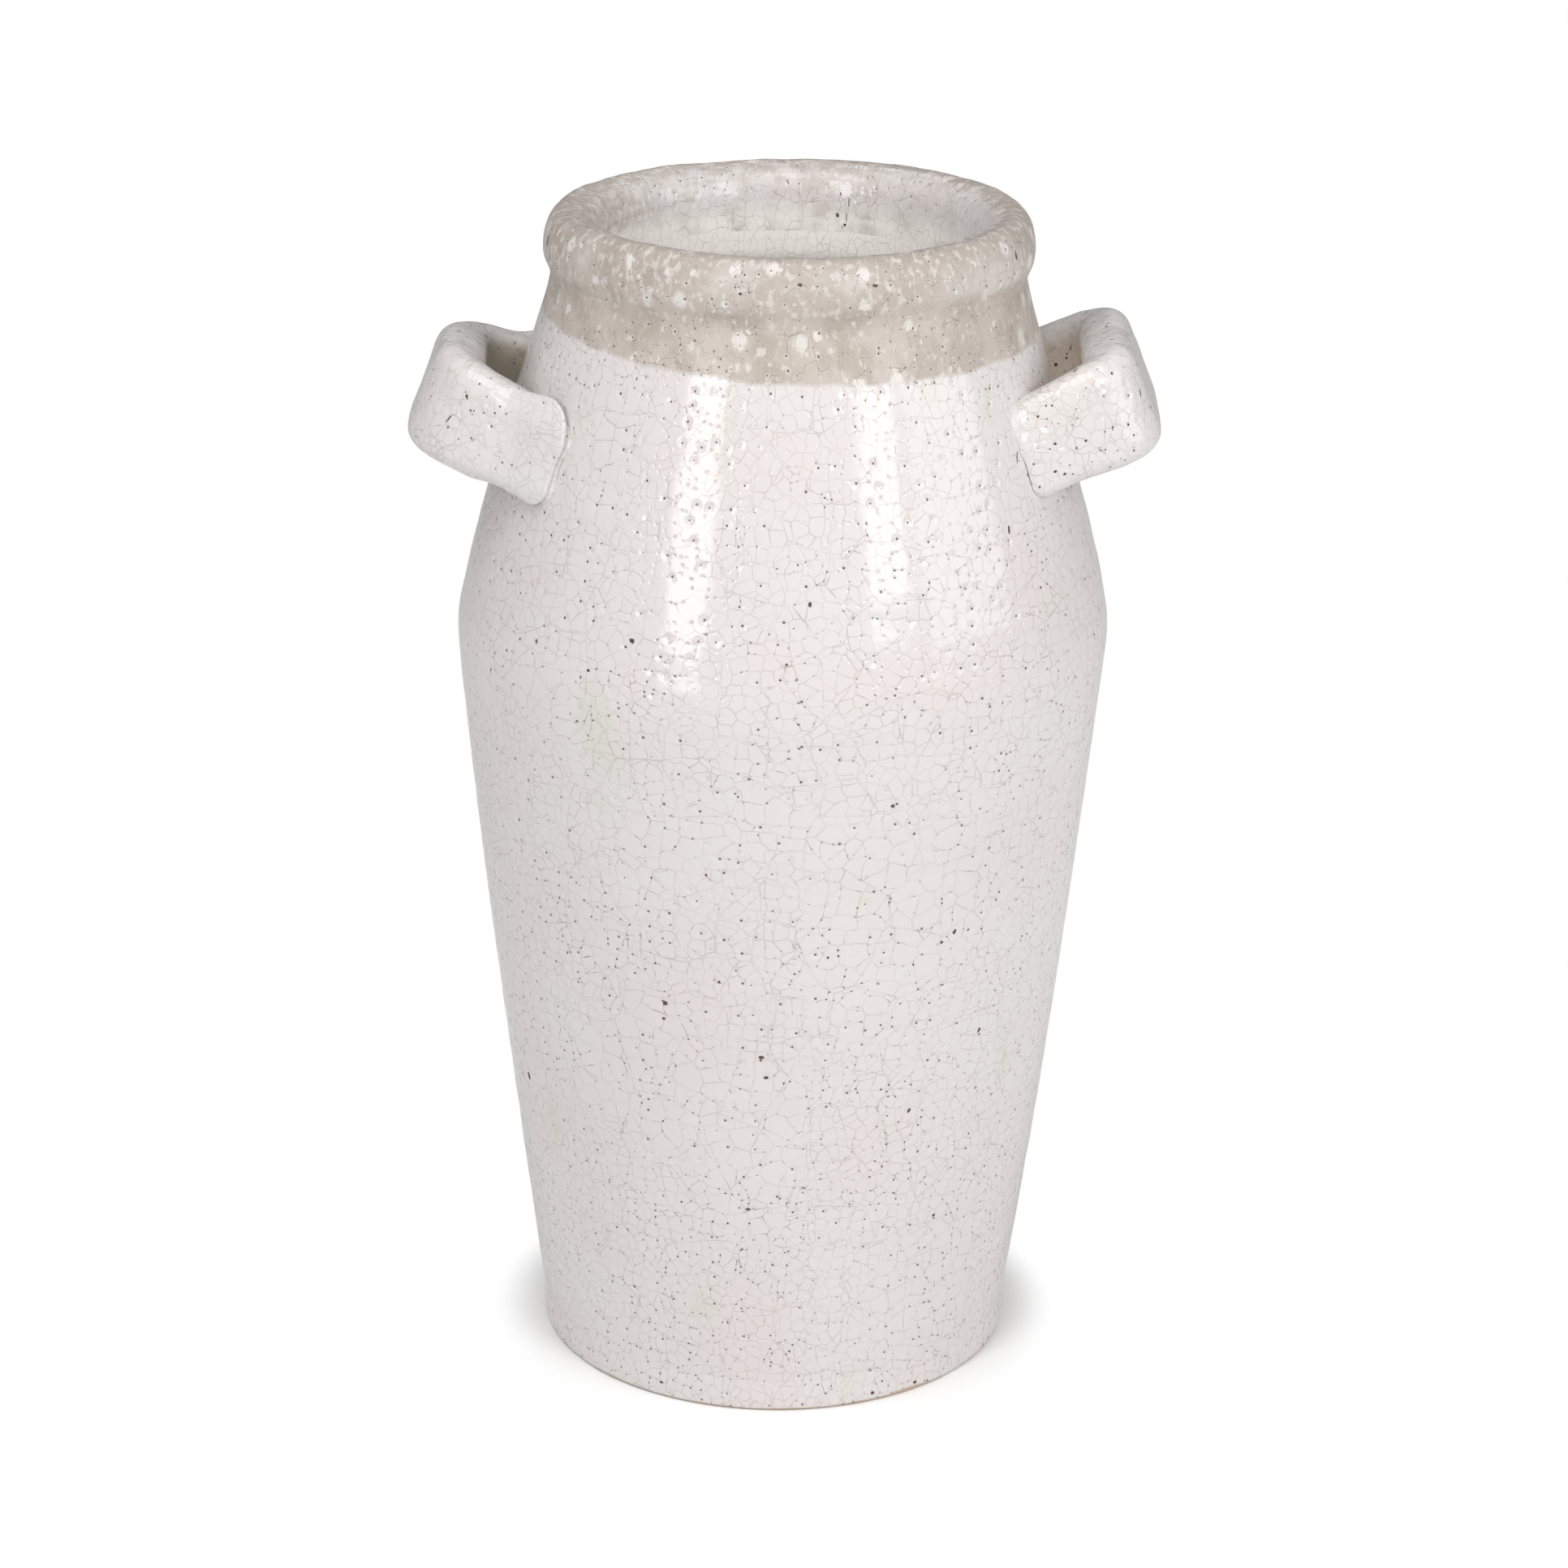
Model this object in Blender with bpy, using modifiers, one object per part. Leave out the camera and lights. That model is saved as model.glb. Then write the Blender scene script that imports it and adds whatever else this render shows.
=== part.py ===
"""Handled stoneware vase, modelled as the clay sections that a potter lutes together.

A floor disc carries a tall lower wall, which widens to a crisp shoulder line. A conical
shoulder wall leans in above it, a short neck collar tops the cone, and a thick rolled lip
closes the mouth. Two straps bent to a U stand on edge on the shoulder, left and right,
each with a thin luting coil pressed into the corner round both of its roots.

Sizes are in metres and +Z is up. The origin is the middle of the foot's underside, the
handles point along -X and +X, and the front of the vase faces -Y.
"""

import math
from dataclasses import dataclass

import bpy
import bmesh
from mathutils import Matrix, Vector
from mathutils.geometry import interpolate_bezier

# Whole vase
VASE_NAME = "handled_vase"
HEIGHT = 0.394
JOINT_GAP = 0.0003
TURN_STEPS = 72

# Foot and floor
FOOT_RADIUS = 0.0808
FOOT_EDGE_RADIUS = 0.0015
FOOT_EDGE_POINTS = 5
FOOT_RING_WIDTH = 0.011
FOOT_RECESS_DEPTH = 0.002
FLOOR_THICKNESS = 0.011

# Lower wall, from the floor to the shoulder line
SHOULDER_LINE_RADIUS = 0.1086
SHOULDER_LINE_SOFTNESS = 0.002
LOWER_WALL_BOW = 0.0015
LOWER_WALL_THICKNESS = 0.0080
LOWER_WALL_POINTS = 7

# Shoulder cone, from the shoulder line up to the waist under the lip
CONE_HEIGHT = 0.1155
CONE_BOW = 0.0012
CONE_THICKNESS = 0.0090
CONE_OUTER_POINTS = 3
CONE_INNER_POINTS = 12

# Neck collar, the top of the cone, and the throat inside it
NECK_RADIUS = 0.0763
NECK_SOFTNESS = 0.0012
NECK_THICKNESS = 0.0158
COLLAR_HEIGHT = 0.0205
COLLAR_POINTS = 6
THROAT_FLARE = 0.7
THROAT_SOFTNESS = 0.004

# Rolled lip
LIP_HEIGHT = 0.0215
LIP_OVERHANG = 0.0031
LIP_ROLL_DEPTH = 0.0066
LIP_UNDERCUT = math.radians(48.8)
LIP_RIDGE_DEPTH = 0.0035
LIP_RIDGE_TIGHTNESS = 0.010
LIP_ROLL_POINTS = 9
LIP_INSIDE_POINTS = 8

# Handle straps
STRAP_HEIGHT = 0.033
STRAP_THICKNESS = 0.0140
STRAP_BAR_THICKNESS = 0.0175
STRAP_RIM_FLAT = 0.0012
STRAP_TILT = math.radians(22.5)
STRAP_OUTER_CORNER = 0.0155
STRAP_SLOT_CORNER = 0.004
STRAP_ROOT_DEPTH = 0.040
OUTER_CORNER_STEPS = 6
SLOT_CORNER_STEPS = 4
EDGE_SEGMENTS = 3
BEVEL_ANGLE = math.radians(40)

# Place and spread of each strap: drop below the waist, reach out from the wall
LEFT_YAW = math.radians(1.5)
LEFT_DROP = 0.0478
LEFT_REACH = 0.0296
LEFT_ROOT_HALF_WIDTH = 0.0410
LEFT_BAR_HALF_WIDTH = 0.0255
RIGHT_YAW = math.radians(-2.5)
RIGHT_DROP = 0.0432
RIGHT_REACH = 0.0305
RIGHT_ROOT_HALF_WIDTH = 0.0480
RIGHT_BAR_HALF_WIDTH = 0.0378

# Luting coils
COIL_RADIUS = 0.0035
COIL_POINTS = 24
COIL_RESOLUTION = 2

# Heights and radii that follow from the sizes above
NECK_HEIGHT = HEIGHT - LIP_HEIGHT
COLLAR_FOOT = NECK_HEIGHT - COLLAR_HEIGHT
SHOULDER_LINE_HEIGHT = NECK_HEIGHT - CONE_HEIGHT
THROAT_RADIUS = NECK_RADIUS - NECK_THICKNESS
THROAT_BOTTOM = NECK_HEIGHT - COLLAR_HEIGHT / 2
LIP_RADIUS = NECK_RADIUS + LIP_OVERHANG
LIP_CREST_RADIUS = LIP_RADIUS - LIP_ROLL_DEPTH
STRAP_EDGE_RADIUS = (STRAP_THICKNESS - STRAP_RIM_FLAT) / 2

# Tolerances of the mesh work
WELD_DISTANCE = 0.000001
FLAT_ANGLE = math.radians(1)
CREASE_ANGLE = math.radians(35)
ROOT_SEARCH_STEPS = 40


@dataclass(frozen=True)
class HandleSize:
    """Where one strap sits, how far below the waist, and how wide it opens."""

    name: str
    side: int
    yaw: float
    drop: float
    reach: float
    root_half_width: float
    bar_half_width: float


HANDLES = (
    HandleSize("left", -1, LEFT_YAW, LEFT_DROP, LEFT_REACH, LEFT_ROOT_HALF_WIDTH, LEFT_BAR_HALF_WIDTH),
    HandleSize("right", 1, RIGHT_YAW, RIGHT_DROP, RIGHT_REACH, RIGHT_ROOT_HALF_WIDTH, RIGHT_BAR_HALF_WIDTH),
)

# Finishes: colour, roughness
GLAZE_WHITE = ((0.78, 0.75, 0.72), 0.22)
GLAZE_TAUPE = ((0.46, 0.41, 0.35), 0.55)
BARE_CLAY = ((0.55, 0.46, 0.36), 0.85)


def clear_scene():
    """Removes what a new file starts with."""
    for thing in list(bpy.data.objects):
        bpy.data.objects.remove(thing, do_unlink=True)


def make_collection(name):
    """Returns a new collection linked to the scene."""
    collection = bpy.data.collections.new(name)
    bpy.context.scene.collection.children.link(collection)
    return collection


def make_material(name, finish):
    """Returns a plain glaze or clay material."""
    colour, roughness = finish
    material = bpy.data.materials.new(name)
    material.use_nodes = True
    shader = material.node_tree.nodes["Principled BSDF"]
    shader.inputs["Base Color"].default_value = (*colour, 1.0)
    shader.inputs["Roughness"].default_value = roughness
    shader.inputs["Metallic"].default_value = 0.0
    return material


def smooth_min(a, b, softness):
    """Smaller of two values, rounded over where they lie within softness of each other."""
    blend = max(softness - abs(a - b), 0.0) / softness
    return min(a, b) - blend * blend * softness / 4


def smooth_max(a, b, softness):
    """Larger of two values, rounded over in the same way."""
    return -smooth_min(-a, -b, softness)


def bowed_line(z, low, high, bow):
    """Radius at height z between two (height, radius) points, bulged by bow at the middle."""
    share = (z - low[0]) / (high[0] - low[0])
    return low[1] + (high[1] - low[1]) * share + 4 * bow * share * (1 - share)


def lower_radius(z):
    """Outer radius of the lower wall."""
    shoulder_line = (SHOULDER_LINE_HEIGHT, SHOULDER_LINE_RADIUS)
    return bowed_line(z, (FLOOR_THICKNESS, FOOT_RADIUS), shoulder_line, LOWER_WALL_BOW)


def cone_radius(z):
    """Outer radius of the shoulder cone."""
    shoulder_line = (SHOULDER_LINE_HEIGHT, SHOULDER_LINE_RADIUS)
    return bowed_line(z, shoulder_line, (NECK_HEIGHT, NECK_RADIUS), CONE_BOW)


def outer_radius(z):
    """Outer radius of the walls from the floor to the underside of the lip."""
    leaning_in = smooth_max(cone_radius(z), NECK_RADIUS, NECK_SOFTNESS)
    return smooth_min(lower_radius(z), leaning_in, SHOULDER_LINE_SOFTNESS)


def inner_radius(z):
    """Inner radius of the walls, with the flare below the throat."""
    if z >= THROAT_BOTTOM:
        return THROAT_RADIUS
    below_shoulder = lower_radius(z) - LOWER_WALL_THICKNESS
    below_cone = cone_radius(z) - CONE_THICKNESS
    belly = smooth_min(below_shoulder, below_cone, SHOULDER_LINE_SOFTNESS)
    flare = THROAT_RADIUS + THROAT_FLARE * (THROAT_BOTTOM - z)
    return smooth_min(belly, flare, THROAT_SOFTNESS)


def rounded_half_height():
    """Half the height over which the shoulder line is rounded."""
    step = SHOULDER_LINE_SOFTNESS
    widening = lower_radius(SHOULDER_LINE_HEIGHT) - lower_radius(SHOULDER_LINE_HEIGHT - step)
    narrowing = cone_radius(SHOULDER_LINE_HEIGHT) - cone_radius(SHOULDER_LINE_HEIGHT + step)
    return SHOULDER_LINE_SOFTNESS * step / (widening + narrowing)


def spread(start, stop, count):
    """Evenly spaced values from start to stop, both included."""
    return [start + (stop - start) * i / (count - 1) for i in range(count)]


def turn(name, profile, closed, collection):
    """Turns a profile of (radius, height) points about the Z axis."""
    mesh = bpy.data.meshes.new(name)
    edges = [(i, i + 1) for i in range(len(profile) - 1)]
    if closed:
        edges.append((len(profile) - 1, 0))
    mesh.from_pydata([(radius, 0.0, height) for radius, height in profile], edges, [])
    body = bpy.data.objects.new(name, mesh)
    collection.objects.link(body)
    screw = body.modifiers.new("Turn", "SCREW")
    screw.axis = "Z"
    screw.angle = math.tau
    screw.steps = TURN_STEPS
    screw.render_steps = TURN_STEPS
    screw.use_merge_vertices = True
    screw.merge_threshold = WELD_DISTANCE
    screw.use_smooth_shade = True
    return body


def wall_section(name, outer_heights, inner_heights, collection):
    """A ring of wall between two flat joints, from heights listed top to bottom."""
    outer = [(outer_radius(z), z) for z in outer_heights]
    inner = [(inner_radius(z), z) for z in reversed(inner_heights)]
    return turn(name, outer + inner, True, collection)


def cone_heights():
    """Heights of the cone's outer rings, top to bottom."""
    bottom = SHOULDER_LINE_HEIGHT + JOINT_GAP
    rounded = rounded_half_height()
    rings = spread(COLLAR_FOOT, bottom + rounded, CONE_OUTER_POINTS)
    return [*rings, bottom + rounded / 2, bottom]


def collar_heights():
    """Heights of the collar's outer rings, top to bottom."""
    return spread(NECK_HEIGHT, COLLAR_FOOT + JOINT_GAP, COLLAR_POINTS)


def build_base(collection):
    """Floor disc with a rounded foot edge and a shallow recess under it."""
    arc_x = FOOT_RADIUS - FOOT_EDGE_RADIUS
    arc = [(arc_x + FOOT_EDGE_RADIUS * math.cos(a), FOOT_EDGE_RADIUS * (1 - math.sin(a)))
           for a in spread(0.0, math.pi / 2, FOOT_EDGE_POINTS)]
    ring_inner = arc_x - FOOT_RING_WIDTH
    recess_edge = ring_inner - FOOT_RECESS_DEPTH
    profile = [(0.0, FLOOR_THICKNESS), (FOOT_RADIUS, FLOOR_THICKNESS), *arc]
    profile += [(ring_inner, 0.0), (recess_edge, FOOT_RECESS_DEPTH), (0.0, FOOT_RECESS_DEPTH)]
    return turn("base_slab", profile, False, collection)


def build_lower_wall(collection):
    """Tall wall from the floor to the shoulder line."""
    top = SHOULDER_LINE_HEIGHT
    rounded = rounded_half_height()
    rings = spread(top - rounded, FLOOR_THICKNESS + JOINT_GAP, LOWER_WALL_POINTS)
    heights = [top, top - rounded / 2, *rings]
    return wall_section("lower_wall", heights, heights, collection)


def build_shoulder_wall(collection):
    """Cone between the shoulder line and the neck collar."""
    bottom = SHOULDER_LINE_HEIGHT + JOINT_GAP
    inner = [*spread(COLLAR_FOOT, bottom + rounded_half_height(), CONE_INNER_POINTS), bottom]
    return wall_section("shoulder_wall", cone_heights(), inner, collection)


def build_neck_collar(collection):
    """Short ring between the cone and the lip, with the throat inside."""
    inner = [NECK_HEIGHT, THROAT_BOTTOM, COLLAR_FOOT + JOINT_GAP]
    return wall_section("neck_collar", collar_heights(), inner, collection)


def build_lip(collection):
    """Thick lip: an oval roll outside, a dished top and a ridge at the throat."""
    bottom = NECK_HEIGHT + JOINT_GAP
    half_height = (HEIGHT - bottom) / (1 + math.sin(LIP_UNDERCUT))
    roll = [(LIP_CREST_RADIUS + LIP_ROLL_DEPTH * math.cos(a), HEIGHT - half_height * (1 - math.sin(a)))
            for a in spread(math.pi / 2, -LIP_UNDERCUT, LIP_ROLL_POINTS)]
    crest = Vector((LIP_CREST_RADIUS, HEIGHT))
    throat = Vector((THROAT_RADIUS, HEIGHT - LIP_RIDGE_DEPTH - LIP_RIDGE_TIGHTNESS))
    ridge = Vector((THROAT_RADIUS, HEIGHT - LIP_RIDGE_DEPTH))
    toward_ridge = Vector((THROAT_RADIUS + LIP_RIDGE_DEPTH, HEIGHT))
    inside = [tuple(point) for point in
              interpolate_bezier(throat, ridge, toward_ridge, crest, LIP_INSIDE_POINTS)]
    profile = [*roll, (THROAT_RADIUS, bottom), *inside[:-1]]
    return turn("rolled_lip", profile, True, collection)


def round_corners(corners):
    """Polygon from (point, radius, steps) corners, each corner turned into an arc."""
    outline = []
    for i, (point, radius, steps) in enumerate(corners):
        before = (corners[i - 1][0] - point).normalized()
        after = (corners[(i + 1) % len(corners)][0] - point).normalized()
        if radius == 0.0:
            outline.append(point)
            continue
        half_angle = before.angle(after) / 2
        centre = point + (before + after).normalized() * radius / math.sin(half_angle)
        start = point + before * radius / math.tan(half_angle) - centre
        sweep = start.angle_signed(point + after * radius / math.tan(half_angle) - centre)
        for step in range(steps + 1):
            outline.append(centre + Matrix.Rotation(-sweep * step / steps, 2) @ start)
    return outline


def arm_normal(size):
    """Unit vector in the strap's plane that points out of the arm on its +Y side."""
    along = Vector((size.reach, size.bar_half_width - size.root_half_width)).normalized()
    return Vector((-along.y, along.x))


def strap_outline(size):
    """Outline of the bent strap in its own plane: x points away from the wall."""
    normal = arm_normal(size)
    along = Vector((normal.y, -normal.x))
    bar_corner = Vector((size.reach, size.bar_half_width))
    root_corner = bar_corner - along * ((size.reach + STRAP_ROOT_DEPTH) / along.x)
    slot_root = root_corner - Vector((0.0, STRAP_THICKNESS / normal.y))
    slot_reach = size.reach - STRAP_BAR_THICKNESS
    slot_corner = slot_root + along * ((slot_reach + STRAP_ROOT_DEPTH) / along.x)
    half = [(root_corner, 0.0, 0), (bar_corner, STRAP_OUTER_CORNER, OUTER_CORNER_STEPS)]
    slot_half = [(slot_root, 0.0, 0), (slot_corner, STRAP_SLOT_CORNER, SLOT_CORNER_STEPS)]
    flip = Vector((1.0, -1.0))
    mirrored = [(point * flip, radius, steps) for point, radius, steps in reversed(half)]
    slot_mirrored = [(point * flip, radius, steps) for point, radius, steps in slot_half]
    return round_corners([*half, *mirrored, *slot_mirrored, *reversed(slot_half)])


def strap_frame(size):
    """Places the strap's plane on the cone: tilted up and turned to its own side."""
    height = NECK_HEIGHT - size.drop
    half_turn = 0.0 if size.side > 0 else math.pi
    turned = Matrix.Rotation(half_turn + size.yaw, 4, "Z")
    seat = Matrix.Translation((cone_radius(height), 0.0, height))
    return turned @ seat @ Matrix.Rotation(-STRAP_TILT, 4, "Y")


def add_bevel(body, width):
    """Rounds the sharp edges of a body."""
    bevel = body.modifiers.new("Round", "BEVEL")
    bevel.width = width
    bevel.segments = EDGE_SEGMENTS
    bevel.limit_method = "ANGLE"
    bevel.angle_limit = BEVEL_ANGLE
    bevel.use_clamp_overlap = False


def cut(body, cutter):
    """Takes the cutter's volume out of a body."""
    boolean = body.modifiers.new("Cut " + cutter.name, "BOOLEAN")
    boolean.operation = "DIFFERENCE"
    boolean.object = cutter
    boolean.solver = "EXACT"


def curve_to_body(name, curve, matrix, collection):
    """Makes a welded mesh object from a curve."""
    holder = bpy.data.objects.new(name + "_curve", curve)
    bpy.context.scene.collection.objects.link(holder)
    bpy.context.view_layer.update()
    evaluated = holder.evaluated_get(bpy.context.evaluated_depsgraph_get())
    mesh = bpy.data.meshes.new_from_object(evaluated)
    bpy.data.objects.remove(holder, do_unlink=True)
    cage = bmesh.new()
    cage.from_mesh(mesh)
    bmesh.ops.remove_doubles(cage, verts=cage.verts, dist=WELD_DISTANCE)
    bmesh.ops.dissolve_limit(cage, angle_limit=FLAT_ANGLE, verts=cage.verts, edges=cage.edges)
    bmesh.ops.recalc_face_normals(cage, faces=cage.faces)
    cage.to_mesh(mesh)
    cage.free()
    body = bpy.data.objects.new(name, mesh)
    body.matrix_world = matrix
    collection.objects.link(body)
    return body


def build_wall_cutter(collection):
    """Solid of the outer wall, grown by the joint gap, that trims what seats on it."""
    heights = [*collar_heights(), *cone_heights(), SHOULDER_LINE_HEIGHT]
    rings = [(outer_radius(z) + JOINT_GAP, z) for z in heights]
    profile = [(0.0, NECK_HEIGHT), *rings, (0.0, SHOULDER_LINE_HEIGHT)]
    cutter = turn("wall_cutter", profile, False, collection)
    hide_cutter(cutter)
    return cutter


def hide_cutter(cutter):
    """Keeps a cutter out of the model."""
    cutter.hide_render = True
    cutter.display_type = "WIRE"


def build_strap(size, wall_cutter, collection):
    """Strap bent to a U, standing on edge, trimmed to the wall at both roots."""
    name = "handle_" + size.name
    curve = bpy.data.curves.new(name, "CURVE")
    curve.dimensions = "2D"
    curve.fill_mode = "BOTH"
    curve.extrude = STRAP_HEIGHT / 2
    outline = strap_outline(size)
    spline = curve.splines.new("POLY")
    spline.points.add(len(outline) - 1)
    for point, corner in zip(spline.points, outline):
        point.co = (corner.x, corner.y, 0.0, 1.0)
    spline.use_cyclic_u = True
    body = curve_to_body(name, curve, strap_frame(size), collection)
    add_bevel(body, STRAP_EDGE_RADIUS)
    cut(body, wall_cutter)
    return body


def root_loop(size, arm):
    """Points where an arm's rounded section meets the wall, on the +Y or -Y arm."""
    frame = strap_frame(size)
    normal = arm_normal(size)
    along = Vector((normal.y, -normal.x))
    corner = Vector((size.reach, size.bar_half_width)) - normal * STRAP_THICKNESS / 2
    side_way = Vector((normal.x, arm * normal.y, 0.0))
    run = Vector((along.x, arm * along.y, 0.0))
    start = Vector((corner.x, arm * corner.y, 0.0))
    half_thick = STRAP_THICKNESS / 2 - STRAP_EDGE_RADIUS
    half_tall = STRAP_HEIGHT / 2 - STRAP_EDGE_RADIUS
    points = []
    for i in range(COIL_POINTS):
        angle = math.tau * (i + 0.5) / COIL_POINTS
        across = math.copysign(half_thick, math.cos(angle)) + STRAP_EDGE_RADIUS * math.cos(angle)
        up = math.copysign(half_tall, math.sin(angle)) + STRAP_EDGE_RADIUS * math.sin(angle)
        surface = start + side_way * across + Vector((0.0, 0.0, up))
        points.append(drop_to_wall(frame, surface, run))
    return points


def root_name(size, arm):
    """Name of one root: the handle's side, and whether it lies in front or behind."""
    return "%s_%s" % (size.name, "back" if arm * size.side > 0 else "front")


def drop_to_wall(frame, surface, run):
    """Follows an arm's surface inward from the bar until it meets the wall."""
    near, far = 0.0, -2 * STRAP_ROOT_DEPTH
    for _ in range(ROOT_SEARCH_STEPS):
        middle = (near + far) / 2
        point = frame @ (surface + run * middle)
        if math.hypot(point.x, point.y) > outer_radius(point.z):
            near = middle
        else:
            far = middle
    return frame @ (surface + run * near)


def build_arm_cutter(size, arm, collection):
    """Straight length of one arm, grown by the joint gap."""
    name = "arm_cutter_" + root_name(size, arm)
    normal = arm_normal(size)
    along = Vector((normal.y, -normal.x))
    length = 2 * STRAP_ROOT_DEPTH
    middle = Vector((size.reach, size.bar_half_width)) - normal * STRAP_THICKNESS / 2 - along * length / 2
    cage = bmesh.new()
    bmesh.ops.create_cube(cage, size=1.0)
    grown = 2 * JOINT_GAP
    bmesh.ops.scale(cage, vec=(length, STRAP_THICKNESS + grown, STRAP_HEIGHT + grown), verts=cage.verts)
    mesh = bpy.data.meshes.new(name)
    cage.to_mesh(mesh)
    cage.free()
    cutter = bpy.data.objects.new(name, mesh)
    heading = arm * math.atan2(along.y, along.x)
    place = Matrix.Translation((middle.x, arm * middle.y, 0.0)) @ Matrix.Rotation(heading, 4, "Z")
    cutter.matrix_world = strap_frame(size) @ place
    collection.objects.link(cutter)
    add_bevel(cutter, STRAP_EDGE_RADIUS + JOINT_GAP)
    hide_cutter(cutter)
    return cutter


def build_coil(size, arm, wall_cutter, collection, cutters):
    """Thin coil of clay pressed into the corner round one root."""
    name = "luting_coil_" + root_name(size, arm)
    curve = bpy.data.curves.new(name, "CURVE")
    curve.dimensions = "3D"
    curve.bevel_depth = COIL_RADIUS
    curve.bevel_resolution = COIL_RESOLUTION
    points = root_loop(size, arm)
    spline = curve.splines.new("POLY")
    spline.points.add(len(points) - 1)
    for point, place in zip(spline.points, points):
        point.co = (*place, 1.0)
    spline.use_cyclic_u = True
    body = curve_to_body(name, curve, Matrix.Identity(4), collection)
    cut(body, wall_cutter)
    cut(body, build_arm_cutter(size, arm, cutters))
    return body


def shade(body):
    """Shades a body smooth, with its crisp edges kept."""
    body.data.shade_smooth()
    body.data.set_sharp_from_angle(angle=CREASE_ANGLE)


def main():
    """Builds the vase."""
    clear_scene()
    vase = make_collection(VASE_NAME)
    cutters = make_collection("cutters")
    wall_cutter = build_wall_cutter(cutters)

    sections = [
        (build_base(vase), BARE_CLAY),
        (build_lower_wall(vase), GLAZE_WHITE),
        (build_shoulder_wall(vase), GLAZE_WHITE),
        (build_neck_collar(vase), GLAZE_TAUPE),
        (build_lip(vase), GLAZE_TAUPE),
    ]
    for size in HANDLES:
        sections.append((build_strap(size, wall_cutter, vase), GLAZE_WHITE))
        for arm in (-1, 1):
            sections.append((build_coil(size, arm, wall_cutter, vase, cutters), GLAZE_WHITE))

    for body, finish in sections:
        body.data.materials.clear()
        body.data.materials.append(make_material(body.name + "_finish", finish))
        if body.data.polygons:
            shade(body)


main()
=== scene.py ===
"""Studio picture of a tall handled stoneware vase with a crackled white glaze.

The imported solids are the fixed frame. Each clay section of the vase gets a glazed surface of
its own in the place of its solid: the foot, the lower wall, the shoulder cone, the neck collar
and the rolled lip, then the two strap handles and the seams that their luting coils leave.
Sizes are in metres, +Z is up, the front of the vase faces -Y and the handles point along X.
"""

import logging
import math
from collections.abc import Iterable, Iterator
from contextlib import contextmanager
from dataclasses import dataclass, field
from enum import Enum
from itertools import cycle

import bmesh
import bpy
import numpy as np
from mathutils import Matrix, Vector, noise
from mathutils.bvhtree import BVHTree


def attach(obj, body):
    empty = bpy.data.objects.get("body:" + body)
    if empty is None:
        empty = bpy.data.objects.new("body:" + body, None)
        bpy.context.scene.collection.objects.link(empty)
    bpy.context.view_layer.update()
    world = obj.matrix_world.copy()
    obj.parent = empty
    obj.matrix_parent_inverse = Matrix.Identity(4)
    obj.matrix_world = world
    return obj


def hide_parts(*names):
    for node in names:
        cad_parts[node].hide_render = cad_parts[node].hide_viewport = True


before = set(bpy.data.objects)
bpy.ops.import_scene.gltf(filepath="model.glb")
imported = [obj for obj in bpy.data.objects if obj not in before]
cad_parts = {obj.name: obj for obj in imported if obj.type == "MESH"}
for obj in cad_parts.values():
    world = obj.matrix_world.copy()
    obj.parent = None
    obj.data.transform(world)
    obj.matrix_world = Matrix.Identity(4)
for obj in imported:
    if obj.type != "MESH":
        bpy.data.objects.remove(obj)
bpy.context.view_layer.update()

LOG = logging.getLogger("vase")
BODY = "root"
WRAP_NAME = "glaze_wrap"
MILLIMETRE = 0.001
WELD_GAP = 0.000002
GREY = (0.5, 0.5, 0.5)

Piece = bpy.types.Object
Node = bpy.types.Node
Tree = bpy.types.NodeTree
Socket = bpy.types.NodeSocket
Profile = list[tuple[float, float]]
Colour = tuple[float, float, float, float]
Ramp = tuple[float, float, float, float]


class Side(Enum):
    """Side of the vase that a handle sits on."""

    LEFT = -1
    RIGHT = 1


class Mapping(Enum):
    """How a glaze pattern lies on a piece."""

    WRAPPED = "2D"
    SOLID = "3D"


def smooth_min(a: float, b: float, softness: float) -> float:
    """Returns the smaller of two values, rounded over where they nearly meet.

    Args:
        a: First value.
        b: Second value.
        softness: Difference under which the values are blended.

    Returns:
        The blended minimum.
    """
    blend = max(softness - abs(a - b), 0.0) / softness
    return min(a, b) - blend * blend * softness / 4


def spread(start: float, stop: float, count: int) -> list[float]:
    """Returns count evenly spaced values from start to stop, both included."""
    return [start + (stop - start) * i / (count - 1) for i in range(count)]


def clamp(value: float, low: float = 0.0, high: float = 1.0) -> float:
    """Returns a value kept between two limits."""
    return min(max(value, low), high)


def ease(value: np.ndarray, low: float, high: float) -> np.ndarray:
    """Returns 0 below low and 1 above high, with a smooth step between."""
    share = np.clip((value - low) / (high - low), 0.0, 1.0)
    return share * share * (3 - 2 * share)


def rise(value: float, low: float, high: float) -> float:
    """Returns what ease gives, for one plain number."""
    share = clamp((value - low) / (high - low))
    return share * share * (3 - 2 * share)


def read_places(mesh: bpy.types.Mesh) -> np.ndarray:
    """Returns one row of x, y and z for each point of a mesh."""
    places = np.empty(len(mesh.vertices) * 3)
    mesh.vertices.foreach_get("co", places)
    return places.reshape(-1, 3)


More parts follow.
